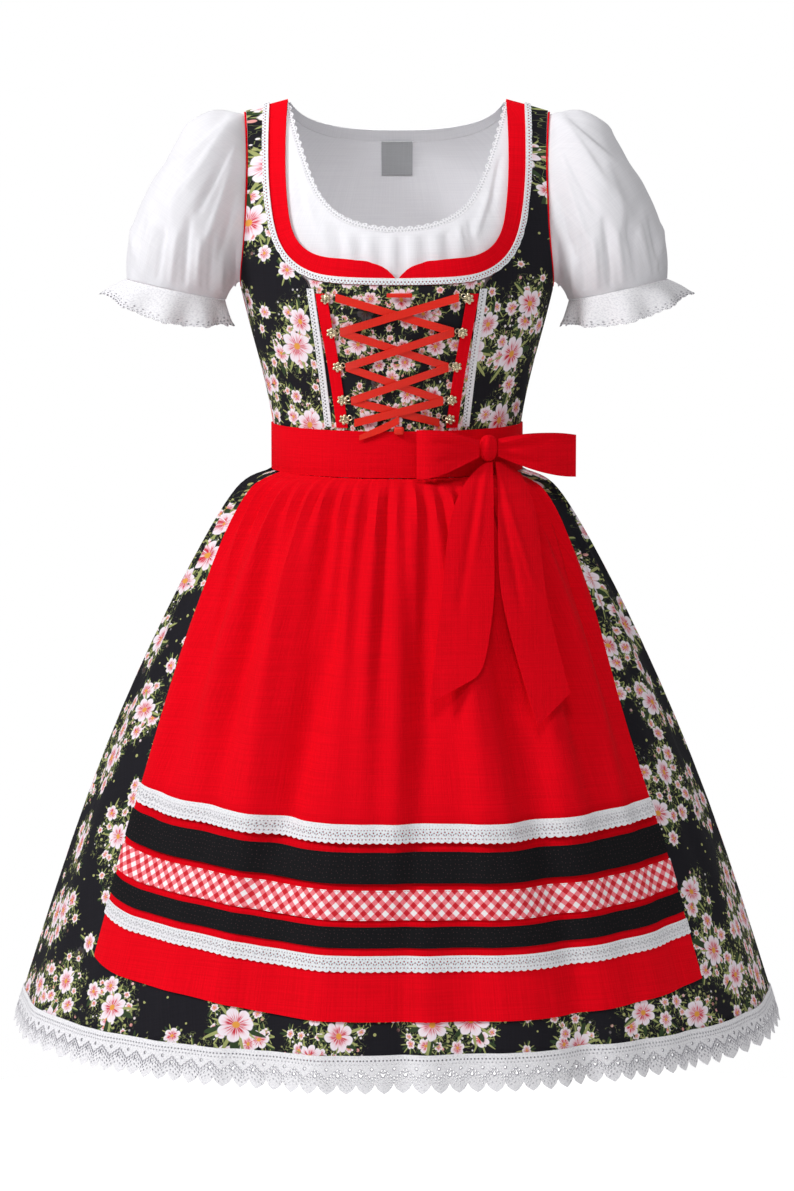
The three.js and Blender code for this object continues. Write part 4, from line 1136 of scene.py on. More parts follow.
@dataclass
class Seam:
    """A row of stitches on a piece of cloth, in millimetres on its flat cut."""

    cloth: Cloth
    finish: Finish
    pitch: float = 3.2
    stitch: float = 2.1
    thread: float = 0.34
    margin: float = 3.0

    def sew(self, dyes: Dyes, heights: tuple[float, ...], outward: Axis) -> None:
        """Sews rows at those heights of the cut.

        Args:
            dyes: the materials.
            heights: heights of the rows on the cut.
            outward: line that the cloth's outer face looks away from.
        """
        mesh = self.cloth.piece.data
        mesh.calc_loop_triangles()
        layer = mesh.uv_layers["cut"].data
        points = self.cloth.points
        flats, corners = [], []
        for triangle in mesh.loop_triangles:
            places = points[list(triangle.vertices)]
            face = np.cross(places[1] - places[0], places[2] - places[0])
            if face @ outward.away(places[:1])[0] <= 0:
                continue
            flats.extend(Vector((*layer[loop].uv, 0.0)) / MM for loop in triangle.loops)
            corners.append(places)
        faces = [(3 * k, 3 * k + 1, 3 * k + 2) for k in range(len(corners))]
        tree = BVHTree.FromPolygons(flats, faces)
        lows = min(flat.x for flat in flats) + self.margin
        highs = max(flat.x for flat in flats) - self.margin
        made = bmesh.new()
        for height in heights:
            for start in np.arange(lows, highs - self.pitch, self.pitch):
                ends = [self.lift(tree, flats, corners, x, height) for x in (start, start + self.stitch)]
                if None in ends:
                    continue
                run = ends[1] - ends[0]
                turn = Vector((1, 0, 0)).rotation_difference(run).to_matrix().to_4x4()
                size = Matrix.Diagonal((run.length, self.thread, self.thread, 1.0))
                middle = Matrix.Translation((ends[0] + ends[1]) / 2)
                bmesh.ops.create_cube(made, size=1.0, matrix=middle @ turn @ size)
        bmesh.ops.scale(made, verts=made.verts, vec=(MM, MM, MM))
        piece = finished(made, self.cloth.node + "_stitches")
        piece.data.uv_layers.new(name="cut")
        dyes.dress(piece, self.finish)
        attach(piece, "root")
        log.info("%s: %d faces", piece.name, len(piece.data.polygons))

    def lift(self, tree: BVHTree, flats: list, corners: list, x: float, height: float) -> Vector | None:
        """Carries a place on the cut to the worn cloth.

        Args:
            tree: search tree of the outer faces on the cut.
            flats: their corners on the cut.
            corners: their corners on the worn cloth.
            x: place along the cut.
            height: place up the cut.

        Returns:
            The point, or None off the cloth.
        """
        spot, _, number, reach = tree.find_nearest(Vector((x, height, 0.0)))
        if number is None or reach > STITCH_REACH:
            return None
        solid = [Vector(corner) for corner in corners[number]]
        return barycentric_transform(spot, *flats[3 * number:3 * number + 3], *solid)


def gathers(rows: tuple[tuple[float, float, float, float], ...], top: float) -> tuple[Fold, ...]:
    """Turns a table of gathers into folds.

    Args:
        rows: angle, length, depth and width of each.
        top: height of the seam they start from.

    Returns:
        The folds.
    """
    return tuple(Fold(angle, top, top - length, width, depth) for angle, length, depth, width in rows)


def folds(fade: Fade, *rows: tuple[float, ...]) -> tuple[Fold, ...]:
    """Turns rows of angle, top, foot, width, depth and lean into folds."""
    return tuple(Fold(*row, fade) for row in rows)


def creases(*rows: tuple[float, ...]) -> tuple[Crease, ...]:
    """Turns rows of start, end, width and depth into creases, two numbers for each place."""
    return tuple(Crease(row[:2], row[2:4], *row[4:]) for row in rows)


def scallops(along: np.ndarray, nearness: np.ndarray, pitch: float, depth: float, arch: float) -> np.ndarray:
    """How far a scalloped edge draws in at each point.

    Args:
        along: distance along the strip.
        nearness: 1 on the free edge, falling to 0 or less away from it.
        pitch: length of a scallop.
        depth: depth of the notches between scallops.
        arch: how pointed the scallops are, with 1 for a sine's arch.

    Returns:
        Distances in millimetres.
    """
    wave = 1 - np.abs(np.sin(np.pi * along / pitch)) ** arch
    return np.clip(nearness, 0, 1) ** 2 * wave * depth


APRON_GATHERS = (
    (-76, 25, 3.3, 1.5), (-71.5, 27, 3.3, 1.2), (-67, 48, 4.5, 1.7), (-62.5, 19, 3.2, 1.3), (-58.5, 44, 3.4, 1.5),
    (-54, 19, 3.0, 1.2), (-50.5, 49, 4.7, 1.8), (-46, 33, 3.4, 1.3), (-42.5, 38, 3.8, 1.5), (-38.5, 15, 3.3, 1.2),
    (-35, 64, 4.5, 1.6), (-31, 30, 3.4, 1.3), (-27.5, 29, 3.4, 1.4), (-24, 26, 3.3, 1.1), (-20.5, 61, 4.8, 1.7),
    (-16.5, 18, 3.4, 1.2), (-13, 50, 3.8, 1.4), (-9.5, 24, 3.3, 1.2), (-6, 46, 4.5, 1.6), (-2, 40, 3.8, 1.3),
    (1.5, 36, 2.9, 1.4), (5, 14, 2.5, 1.1), (8.5, 74, 3.9, 1.7), (12.5, 27, 2.9, 1.2), (16, 36, 3.2, 1.4),
    (19.5, 28, 2.8, 1.2), (23.5, 50, 3.8, 1.6), (28, 20, 2.9, 1.3), (32, 45, 2.9, 1.4), (36, 20, 2.8, 1.2),
    (40.5, 47, 3.9, 1.7), (45, 34, 2.9, 1.3), (49.5, 37, 2.9, 1.5), (54, 16, 2.8, 1.2), (59, 60, 3.6, 1.7),
    (64, 28, 2.9, 1.4), (69, 28, 2.8, 1.5), (74.5, 32, 2.9, 1.4),
)
BACK_GATHERS = (
    (-88, 60, 1.6, 1.6), (-83, 42, 1.3, 1.4), (-78.5, 85, 1.9, 1.7), (-73.5, 48, 1.3, 1.4), (-69, 70, 1.7, 1.5),
    (-64, 38, 1.2, 1.3), (-60, 96, 2.0, 1.8), (-55, 52, 1.4, 1.4), (-50.5, 66, 1.6, 1.5), (-46, 36, 1.1, 1.3),
    (-42, 104, 2.1, 1.8), (-37, 46, 1.3, 1.3), (-33, 74, 1.7, 1.5), (-28.5, 40, 1.2, 1.3), (-24.5, 88, 1.9, 1.6),
    (-20, 50, 1.4, 1.4), (-16, 62, 1.6, 1.5), (-11.5, 35, 1.1, 1.2), (-7.5, 100, 2.0, 1.7), (-3, 45, 1.3, 1.3),
    (1, 72, 1.7, 1.5), (5.5, 39, 1.2, 1.3), (9.5, 92, 1.9, 1.7), (14, 49, 1.4, 1.4), (18.5, 64, 1.6, 1.5),
    (23, 36, 1.1, 1.2), (27, 98, 2.0, 1.7), (31.5, 44, 1.3, 1.3), (36, 78, 1.8, 1.5), (40.5, 41, 1.2, 1.3),
    (45, 86, 1.9, 1.7), (50, 50, 1.4, 1.4), (54.5, 68, 1.6, 1.5), (59.5, 37, 1.2, 1.3), (64, 94, 2.0, 1.8),
    (69, 47, 1.3, 1.4), (74, 71, 1.7, 1.5), (79, 43, 1.3, 1.4), (84, 82, 1.8, 1.6), (88.5, 55, 1.5, 1.5),
)
SKIRT_SIDE_GATHERS = (
    (-88.5, 70, 1.6, 1.6), (-84, 46, 1.3, 1.4), (-80, 90, 1.8, 1.6), (80, 84, 1.8, 1.6), (84, 50, 1.3, 1.4),
    (88.5, 66, 1.6, 1.6),
)
APRON_FOLDS = folds(
    Fade.BOTH,
    (-63, -390, -840, 3.6, -10.9, 10), (-56, -392, -700, 2.9, 8.7, 8), (-49, -392, -820, 3.1, -12.6, 7),
    (-38, -396, -760, 3.9, 10.4, 3), (-29, -392, -560, 2.2, -8.1, 4), (-18, -424, -850, 3.7, -16.4, -12),
    (-20, -392, -600, 2.0, 7.1, 6), (-9, -396, -700, 3.6, 7.5, 2), (-5, -400, -640, 1.8, -5.4, -1),
    (1, -410, -820, 3.4, 7.0, -1), (9, -420, -870, 4.0, -11.6, -6), (5, -392, -520, 2.0, 5.0, 1),
    (19, -400, -780, 4.4, 7.5, 2), (29, -410, -860, 3.6, -10.0, 2), (38, -396, -740, 3.8, 7.4, 3),
    (47, -400, -830, 3.6, -9.1, 2), (57, -394, -700, 3.4, 6.4, -4), (65, -392, -780, 3.4, -7.4, -8),
) + folds(
    Fade.UP,
    (-30, -700, -960, 2.7, -5.0, 2), (2, -700, -960, 2.7, -4.6, -1), (32, -720, -960, 3.1, -5.4, 2),
    (-14, -720, -960, 3.6, 4.1, 0),
)
SKIRT_CREASES = folds(
    Fade.BOTH,
    (-70, -640, -940, 2.0, 1.4, -1), (66, -620, -930, 2.2, 1.5, 2), (-82, -520, -800, 2.0, 1.5, 1),
    (80, -540, -820, 2.0, 1.4, -1),
) + folds(
    Fade.UP,
    (-58, -700, -950, 1.8, -1.2, 1), (54, -690, -950, 1.8, -1.2, -1),
)
BACK_CREASES = folds(
    Fade.BOTH,
    (-64, -560, -900, 2.4, 1.6, 2), (-38, -620, -940, 2.0, -1.3, -1), (-12, -540, -860, 2.2, 1.5, 2),
    (17, -600, -930, 2.0, 1.4, -2), (41, -570, -880, 2.3, -1.3, 1), (70, -610, -940, 2.0, 1.5, -1),
)


@dataclass
class Skirt:
    """Gathered skirt of the dress with the lace under its hem."""

    frame: dict
    dyes: Dyes
    drop: float = 0.62
    waist: float = -386.0
    waist_radius: float = 115.0
    slope: float = 0.438
    tuck_reach: float = 16.0
    tuck_depth: float = 4.5
    lace_drop: float = 0.036
    lace_foot: float = -978.0
    lace_notch: float = -969.0
    lace_round: float = 0.5
    lace_radius: float = 376.0
    lace_stations: int = 220

    def build(self) -> None:
        """Builds both halves of the skirt, and then of its lace."""
        for half, back in HALVES:
            cloth = Cloth(self.frame, "skirt_" + half, COARSE)
            cloth.chart_cone(self.waist, self.waist_radius, self.slope, back)
            fine = gathers(BACK_GATHERS if back else SKIRT_SIDE_GATHERS, self.waist)
            cloth.fold(fine + self.long_folds(back), back)
            if not back:
                self.tuck(cloth)
            cloth.hand_over(self.dyes, Finish.FLORAL, self.drop)
        for half, back in HALVES:
            cloth = Cloth(self.frame, "hem_lace_" + half, COARSE)
            self.round_points(cloth)
            flat = cloth.unrolled(self.lace_radius, back)
            strip = Course.along(cloth.points, cloth.angles(back), flat, self.lace_stations).measure(flat)
            cloth.chart(np.stack([strip.along, flat[:, 1] - self.lace_foot], axis=1))
            cloth.fold(self.long_folds(back), back)
            cloth.hand_over(self.dyes, Finish.HEM_LACE, self.lace_drop)

    def long_folds(self, back: bool) -> tuple[Fold, ...]:
        """Long folds of one half, which the front shares with the apron."""
        return BACK_CREASES if back else SKIRT_CREASES + APRON_FOLDS

    def tuck(self, cloth: Cloth) -> None:
        """Draws the skirt's front in under the waistband.

        Args:
            cloth: the skirt's front.
        """
        points = cloth.points
        share = np.clip(1 - np.abs(points[:, 2] - self.waist) / self.tuck_reach, 0, 1)
        cloth.points = points - BODY_AXIS.away(points) * (self.tuck_depth * share)[:, None]

    def round_points(self, cloth: Cloth) -> None:
        """Rounds the points of the lace's lower edge.

        Args:
            cloth: one half of the lace.
        """
        points = cloth.points
        share = np.clip((self.lace_notch - points[:, 2]) / (self.lace_notch - self.lace_foot), 0, 1)
        rounder = self.lace_notch - (self.lace_notch - self.lace_foot) * share ** self.lace_round
        points[:, 2] = np.where(share > 0, rounder, points[:, 2])
        cloth.points = points


@dataclass
class Apron:
    """Red apron with its lace, ribbon and gingham bands, waistband and back tie."""

    frame: dict
    dyes: Dyes
    drop: float = 0.545
    waist: float = -386.0
    panel_radius: float = 300.0
    tuck_drop: float = 7.0
    tuck_depth: float = 5.0
    tuck_rise: float = 5.0
    bands: tuple[tuple[str, Finish, int], ...] = (
        ("lace_upper", Finish.APRON_LACE, FINE), ("lace_lower", Finish.APRON_LACE, FINE),
        ("band_black_upper", Finish.BLACK, COARSE), ("band_black_lower", Finish.BLACK, COARSE),
        ("band_gingham", Finish.GINGHAM, COARSE),
    )
    band_radius: float = 290.0
    band_stations: int = 110
    scallop: float = 7.2
    scallop_depth: float = 2.6
    scallop_arch: float = 0.7
    ribbon_row: float = 1.4
    waistband_drop: float = 0.048
    waistband_radius: float = 118.0
    tie_radius: float = 112.0
    waistband_rows: tuple[float, ...] = (-342.0, -383.0)

    def build(self) -> None:
        """Builds the panel, its bands and what ties it."""
        panel = Cloth(self.frame, "apron_panel", COARSE)
        panel.chart_round(self.panel_radius)
        panel.fold(gathers(APRON_GATHERS, self.waist) + APRON_FOLDS)
        self.tuck(panel)
        panel.hand_over(self.dyes, Finish.RED, self.drop)
        for name, finish, level in self.bands:
            self.band("apron_" + name, finish, level)
        waistband = self.tie("apron_waistband", self.waistband_radius, False)
        Seam(waistband, Finish.RED).sew(self.dyes, self.waistband_rows, BODY_AXIS)
        self.tie("apron_tie_back", self.tie_radius, True)

    def tuck(self, panel: Cloth) -> None:
        """Draws the panel's top edge in and up under the waistband.

        Args:
            panel: the apron's panel.
        """
        points = panel.points
        share = np.clip((points[:, 2] - self.waist + self.tuck_drop) / self.tuck_drop, 0, 1) ** 2
        points -= BODY_AXIS.away(points) * (self.tuck_depth * share)[:, None]
        points[:, 2] += self.tuck_rise * share
        panel.points = points

    def tie(self, node: str, radius: float, back: bool) -> Cloth:
        """Builds one half of the band round the waist.

        Args:
            node: name of its solid.
            radius: its radius.
            back: whether it is the back half.

        Returns:
            The band.
        """
        cloth = Cloth(self.frame, node, FINE)
        cloth.chart_round(radius, back)
        cloth.hand_over(self.dyes, Finish.RED, self.waistband_drop)
        return cloth

    def band(self, node: str, finish: Finish, level: int) -> None:
        """Builds one band across the apron.

        Args:
            node: name of its solid.
            finish: its finish.
            level: how many times it is divided.
        """
        cloth = Cloth(self.frame, node, level)
        points, flat = cloth.points, cloth.unrolled(self.band_radius)
        strip = Course.along(points, cloth.angles(False), flat, self.band_stations).measure(flat)
        off = strip.off
        if finish is Finish.APRON_LACE:
            lift = scallops(strip.along, -off / strip.half, self.scallop, self.scallop_depth, self.scallop_arch)
            points[:, 2] += lift
            cloth.points = points
            off = off + lift
        cloth.chart(np.stack([strip.along, off + strip.half], axis=1))
        cloth.fold(APRON_FOLDS)
        cloth.hand_over(self.dyes, finish, 2 * strip.half * MM)
        if finish is not Finish.APRON_LACE:
            thread = Finish.RED if finish is Finish.GINGHAM else Finish.BLACK
            rows = (self.ribbon_row, 2 * strip.half - self.ribbon_row)
            Seam(cloth, thread).sew(self.dyes, rows, BODY_AXIS)


BOW_CREASES = {
    "bow_loop_left": creases(
        (84, -362, 38, -352, 3.2, -2.2), (84, -366, 44, -372, 3.0, -1.8),
        (84, -358, 52, -346, 2.6, 1.6), (83, -370, 56, -384, 2.6, 1.4),
    ),
    "bow_loop_right": creases(
        (105, -362, 158, -354, 3.4, -2.4), (105, -368, 150, -378, 3.0, -2.0),
        (105, -356, 140, -350, 2.6, 1.6), (106, -372, 138, -388, 2.6, 1.5),
    ),
    "bow_knot": creases(
        (91, -348, 89, -374, 1.8, -1.4), (98, -347, 99, -375, 1.8, -1.2),
    ),
    "bow_tail_left": creases(
        (86, -382, 62, -520, 4.0, -2.4), (92, -380, 78, -470, 3.2, 1.8),
    ),
    "bow_tail_right": creases(
        (100, -380, 126, -520, 4.0, -2.4), (104, -382, 140, -500, 3.2, 1.6),
    ),
}


@dataclass
class Bow:
    """Bow of the apron's ties with its knot and two tails."""

    frame: dict
    dyes: Dyes

    def build(self) -> None:
        """Builds the bow's five pieces."""
        drops = {
            "bow_loop_left": 0.05, "bow_loop_right": 0.046, "bow_knot": 0.03,
            "bow_tail_left": 0.235, "bow_tail_right": 0.262,
        }
        for node, drop in drops.items():
            cloth = Cloth(self.frame, node, FINE)
            cloth.chart(cloth.seen())
            cloth.crease(BOW_CREASES[node], FRONT_FACE)
            cloth.hand_over(self.dyes, Finish.RED, drop)


@dataclass
class Bodice:
    """Fitted top of the dress with its neck bands, braids and pipings.

    Each row of lobes holds a distance from the middle, the height of the solid band's inner edge there, and
    the height that it is raised to.
    """

    frame: dict
    dyes: Dyes
    radius: float = 128.0
    drop: float = 0.33
    middle_drop: float = 0.18
    band_drop: float = 0.025
    trim_drop: float = 0.01
    neck_front: float = 80.0
    neck_back: float = 30.0
    neck_stations: int = 90
    braid_scallop: float = 4.4
    braid_depth: float = 1.0
    braid_arch: float = 0.8
    seam_edge: float = 4.5
    seam_stations: int = 40
    band_foot: float = -193.0
    band_slope: float = 0.3
    lobes: tuple[tuple[float, float, float], ...] = (
        (0, -187.8, -187.8), (3, -187.2, -184.0), (5, -186.7, -181.3), (10, -184.8, -176.0), (15, -182.5, -173.0),
        (20, -179.9, -170.9), (25, -177.4, -169.5), (30, -175.9, -168.5), (35, -174.0, -167.8), (40, -172.2, -167.3),
        (50, -170.0, -166.6), (60, -167.9, -165.8), (70, -165.3, -164.5), (80, -162.6, -162.6),
    )

    def build(self) -> None:
        """Builds the panels and what is sewn to them."""
        for half, back in HALVES:
            for part in (f"side_{half}_right", f"side_{half}_left", "centre_" + half):
                middle = part == "centre_front"
                cloth = Cloth(self.frame, "bodice_" + part, COARSE)
                cloth.chart_round(self.radius, back)
                finish = Finish.FLORAL_MIDDLE if middle else Finish.FLORAL
                drop = self.middle_drop if middle else self.drop
                cloth.hand_over(self.dyes, finish, drop)
        for half, back in HALVES:
            cloth = Cloth(self.frame, "neck_band_" + half, FINE)
            if not back:
                self.round_lobes(cloth)
            self.follow(cloth, back, 0.0)
            self.sew_on(cloth, Finish.RED, self.band_drop)
        for half, back in HALVES:
            cloth = Cloth(self.frame, "neck_braid_" + half, FINE)
            self.follow(cloth, back, self.braid_depth)
            self.sew_on(cloth, Finish.BRAID, self.trim_drop)
        for node in ("seam_braid_right", "seam_braid_left", "hook_strip_right", "hook_strip_left"):
            cloth = Cloth(self.frame, node, FINE)
            points, flat = cloth.points, cloth.seen()
            strip = Course.along(points, -points[:, 2], flat, self.seam_stations).measure(flat)
            cloth.chart(np.stack([strip.along, self.seam_edge + strip.off], axis=1))
            finish = Finish.BRAID if "braid" in node else Finish.RED
            self.sew_on(cloth, finish, self.trim_drop)
        for side in ("right", "left"):
            cloth = Cloth(self.frame, "armhole_piping_" + side, COARSE)
            cloth.chart(cloth.points[:, 1:])
            self.sew_on(cloth, Finish.RED, self.trim_drop)

    def sew_on(self, cloth: Cloth, finish: Finish, drop: float) -> None:
        """Hands over a trim.

        Args:
            cloth: the trim.
            finish: its finish.
            drop: length of what shows of its cut, in metres.
        """
        cloth.hand_over(self.dyes, finish, drop)

    def round_lobes(self, cloth: Cloth) -> None:
        """Raises the neck band's inner edge beside its notch into two round lobes.

        Args:
            cloth: the front neck band.
        """
        points = cloth.points
        sides, tops, lobes = np.array(self.lobes).T
        reach = np.abs(points[:, 0])
        top = np.interp(reach, sides, tops)
        share = np.clip((points[:, 2] - self.band_foot) / (top - self.band_foot), 0, 1)
        lift = np.where(reach < sides[-1], share * (np.interp(reach, sides, lobes) - top), 0)
        points[:, 1] += self.band_slope * lift
        points[:, 2] += lift
        cloth.points = points

    def follow(self, cloth: Cloth, back: bool, depth: float) -> None:
        """Lays a strip round the neck flat, and scallops its outer edge.

        Args:
            cloth: the strip.
            back: whether it lies on the back.
            depth: depth of its scallops, or 0 for none.
        """
        strip = cloth.round_neck(self.neck_back if back else self.neck_front, self.neck_stations)
        off = strip.off
        if depth:
            lift = scallops(strip.along, -off / strip.half, self.braid_scallop, depth, self.braid_arch)
            cloth.shift(strip.side, lift)
            off = off + lift
        cloth.chart(np.stack([strip.along, off + strip.half], axis=1))


@dataclass(frozen=True)
class Dome:
    """Flat-footed dome of a hook: its radius, height, sides, lift above the hook's back, and finish's number."""

    radius: float
    height: float
    sides: int
    lift: float
    finish: int = 0


@dataclass
class Closing:
    """Hooks, zigzag lacing, its bar and its knot."""

    frame: dict
    dyes: Dyes
    hooks: int = 5
    plate: Dome = Dome(4.6, 1.6, 16, 0.0)
    petal: Dome = Dome(1.9, 1.7, 8, 0.8)
    bead: Dome = Dome(0.72, 0.7, 6, 2.2, 1)
    stone: Dome = Dome(2.1, 1.5, 10, 1.9, 1)
    petals: int = 6
    petal_ring: float = 4.1
    bead_ring: float = 0.98
    ring: float = 2.5
    ring_gap: float = 2.6
    ring_lift: float = 1.0
    ring_steps: int = 14
    wire: float = 0.55
    wire_sides: int = 6
    lacing_drop: float = 0.01
    roll_share: float = 0.8
    roll_steps: int = 3

    def build(self) -> None:
        """Builds the hooks and lacing."""
        for side, sign in (("right", 1), ("left", -1)):
            for number in range(1, self.hooks + 1):
                self.hook(f"hook_{side}_{number}", sign)
        for node in ("lacing_ribbon_first", "lacing_ribbon_second", "lacing_end"):
            cloth = Cloth(self.frame, node, COARSE)
            cloth.chart(cloth.seen())
            cloth.hand_over(self.dyes, Finish.SATIN, self.lacing_drop)
        self.ribbon_block("lacing_bar", (2.5, -119.2, -203.5), (13.0, 1.2, 2.2), 1.0)
        self.ribbon_block("lacing_knot", (2.0, -100.4, -342.0), (5.2, 3.0, 4.2), 2.4)

    def hook(self, node: str, side: int) -> None:
        """Builds one flower hook with its ring.

        Args:
            node: name of its solid.
            side: 1 for the right side and -1 for the left.
        """
        solid = self.frame["nodes"][node].data
        points = np.array([v.co for v in solid.vertices]) / MM
        centre = (points.min(axis=0) + points.max(axis=0)) / 2
        _, _, axes = np.linalg.svd(points - points.mean(axis=0))
        out = axes[2] if axes[2][1] < 0 else -axes[2]
        reach = np.abs((points - centre) @ out).max()
        turn = Vector((0, 0, 1)).rotation_difference(Vector(out)).to_matrix().to_4x4()
        made = bmesh.new()
        foot = Vector((0, 0, -reach))
        self.dome(made, foot, self.plate)
        for number in range(self.petals):
            angle = 2 * math.pi * number / self.petals
            spot = Vector((math.cos(angle), math.sin(angle), 0)) * self.petal_ring
            self.dome(made, foot + spot, self.petal)
            self.dome(made, foot + spot * self.bead_ring, self.bead)
        self.dome(made, foot, self.stone)
        shift = foot + Vector((-side * (self.petal_ring + self.ring_gap), 0, self.ring_lift))
        rim = bmesh.ops.create_circle(made, segments=self.wire_sides, radius=self.wire)["verts"]
        bmesh.ops.rotate(made, verts=rim, cent=(0, 0, 0), matrix=Matrix.Rotation(math.pi / 2, 3, "X"))
        bmesh.ops.translate(made, verts=rim, vec=shift + Vector((self.ring, 0, 0)))
        edges = list({edge for vert in rim for edge in vert.link_edges})
        before = set(made.faces)
        bmesh.ops.spin(
            made, geom=rim + edges, cent=shift, axis=(0, 0, 1), angle=2 * math.pi, steps=self.ring_steps,
            use_merge=True)
        for face in set(made.faces) - before:
            face.material_index = 2
        bmesh.ops.recalc_face_normals(made, faces=made.faces)
        bmesh.ops.transform(made, matrix=turn, verts=made.verts)
        bmesh.ops.translate(made, verts=made.verts, vec=Vector(centre))
        bmesh.ops.scale(made, verts=made.verts, vec=(MM, MM, MM))
        piece = finished(made, node + "_look")
        self.dyes.dress(piece, Finish.METAL, Finish.STONE, Finish.COPPER)
        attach(piece, "root")
        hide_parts(node)
        log.info("%s: %d faces", piece.name, len(piece.data.polygons))

    def dome(self, made: bmesh.types.BMesh, spot: Vector, kind: Dome) -> None:
        """Adds a flat-footed dome.

        Args:
            made: mesh that it is added to.
            spot: place on the hook's back that it stands over.
            kind: its sizes.
        """
        before = set(made.faces)
        rings = max(4, kind.sides // 2)
        ball = bmesh.ops.create_uvsphere(made, u_segments=kind.sides, v_segments=rings, radius=kind.radius)
        for vert in ball["verts"]:
            vert.co.z = max(vert.co.z, 0) * kind.height / kind.radius
        bmesh.ops.translate(made, verts=ball["verts"], vec=spot + Vector((0, 0, kind.lift)))
        for face in set(made.faces) - before:
            face.material_index = kind.finish

    def ribbon_block(self, name: str, spot: tuple, half: tuple, corner: float) -> None:
        """Adds a small soft roll of lacing ribbon.

        Args:
            name: its name.
            spot: its middle.
            half: half its size each way.
            corner: radius of its corners.
        """
        made = bmesh.new()
        box = bmesh.ops.create_cube(made, size=2.0)["verts"]
        bmesh.ops.scale(made, verts=box, vec=half)
        bmesh.ops.bevel(
            made, geom=made.edges[:] + made.verts[:], offset=min(corner, min(half) * self.roll_share),
            segments=self.roll_steps, affect="EDGES", profile=0.5, material=-1)
        bmesh.ops.translate(made, verts=made.verts, vec=spot)
        bmesh.ops.scale(made, verts=made.verts, vec=(MM, MM, MM))
        piece = finished(made, name)
        layer = piece.data.uv_layers.new(name="cut")
        for loop in piece.data.loops:
            corner_at = piece.data.vertices[loop.vertex_index].co
            layer.data[loop.index].uv = (corner_at.x, corner_at.z)
        self.dyes.dress(piece, Finish.SATIN)
        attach(piece, "root")
        log.info("%s: %d faces", name, len(piece.data.polygons))


NECK_CREASES = creases(
    (-74, -128, -70, -166, 3.4, 2.5), (-62, -134, -55, -180, 3.0, -2.2),
    (-50, -139, -46, -172, 3.0, 2.5), (-39, -141, -36, -190, 2.8, -2.2),
    (-28, -142, -27, -175, 3.0, 2.7), (-17, -143, -17, -192, 2.8, -2.2),
    (-6, -143, -5, -178, 3.0, 2.5), (5, -143, 7, -193, 2.8, -2.4),
    (16, -143, 18, -176, 3.0, 2.7), (28, -142, 29, -190, 2.8, -2.0),
    (39, -141, 42, -172, 3.0, 2.5), (51, -138, 54, -182, 3.0, -2.2),
    (63, -133, 66, -168, 3.2, 2.5), (75, -127, 80, -160, 3.2, -2.0),
    (-95, -96, -76, -150, 3.4, 2.0), (94, -98, 78, -148, 3.4, 2.0),
    (-108, -60, -96, -120, 3.4, -2.0), (108, -62, 97, -118, 3.4, -2.0),
)
SLEEVE_CREASES = creases(
    (178, -16, 232, -62, 5.0, -3.9), (172, -26, 218, -96, 4.6, 3.3),
    (170, -44, 206, -120, 4.6, -3.6), (168, -70, 196, -150, 4.2, 3.0),
    (186, -14, 246, -44, 4.6, 2.8), (167, -100, 184, -168, 4.0, -3.0),
    (276, -182, 262, -120, 4.0, -3.6), (262, -186, 250, -130, 3.6, 3.0),
    (248, -188, 238, -118, 3.8, -3.6), (234, -192, 226, -138, 3.4, 3.0),
    (220, -194, 214, -124, 3.8, -3.3), (207, -198, 202, -146, 3.4, 2.8),
    (194, -200, 190, -140, 3.6, -3.0), (184, -202, 180, -156, 3.2, 2.4),
    (270, -176, 280, -130, 3.4, 2.4), (256, -100, 236, -150, 6.0, -2.7),
    (214, -70, 240, -130, 6.5, 2.7), (200, -30, 262, -80, 6.0, -2.4),
)


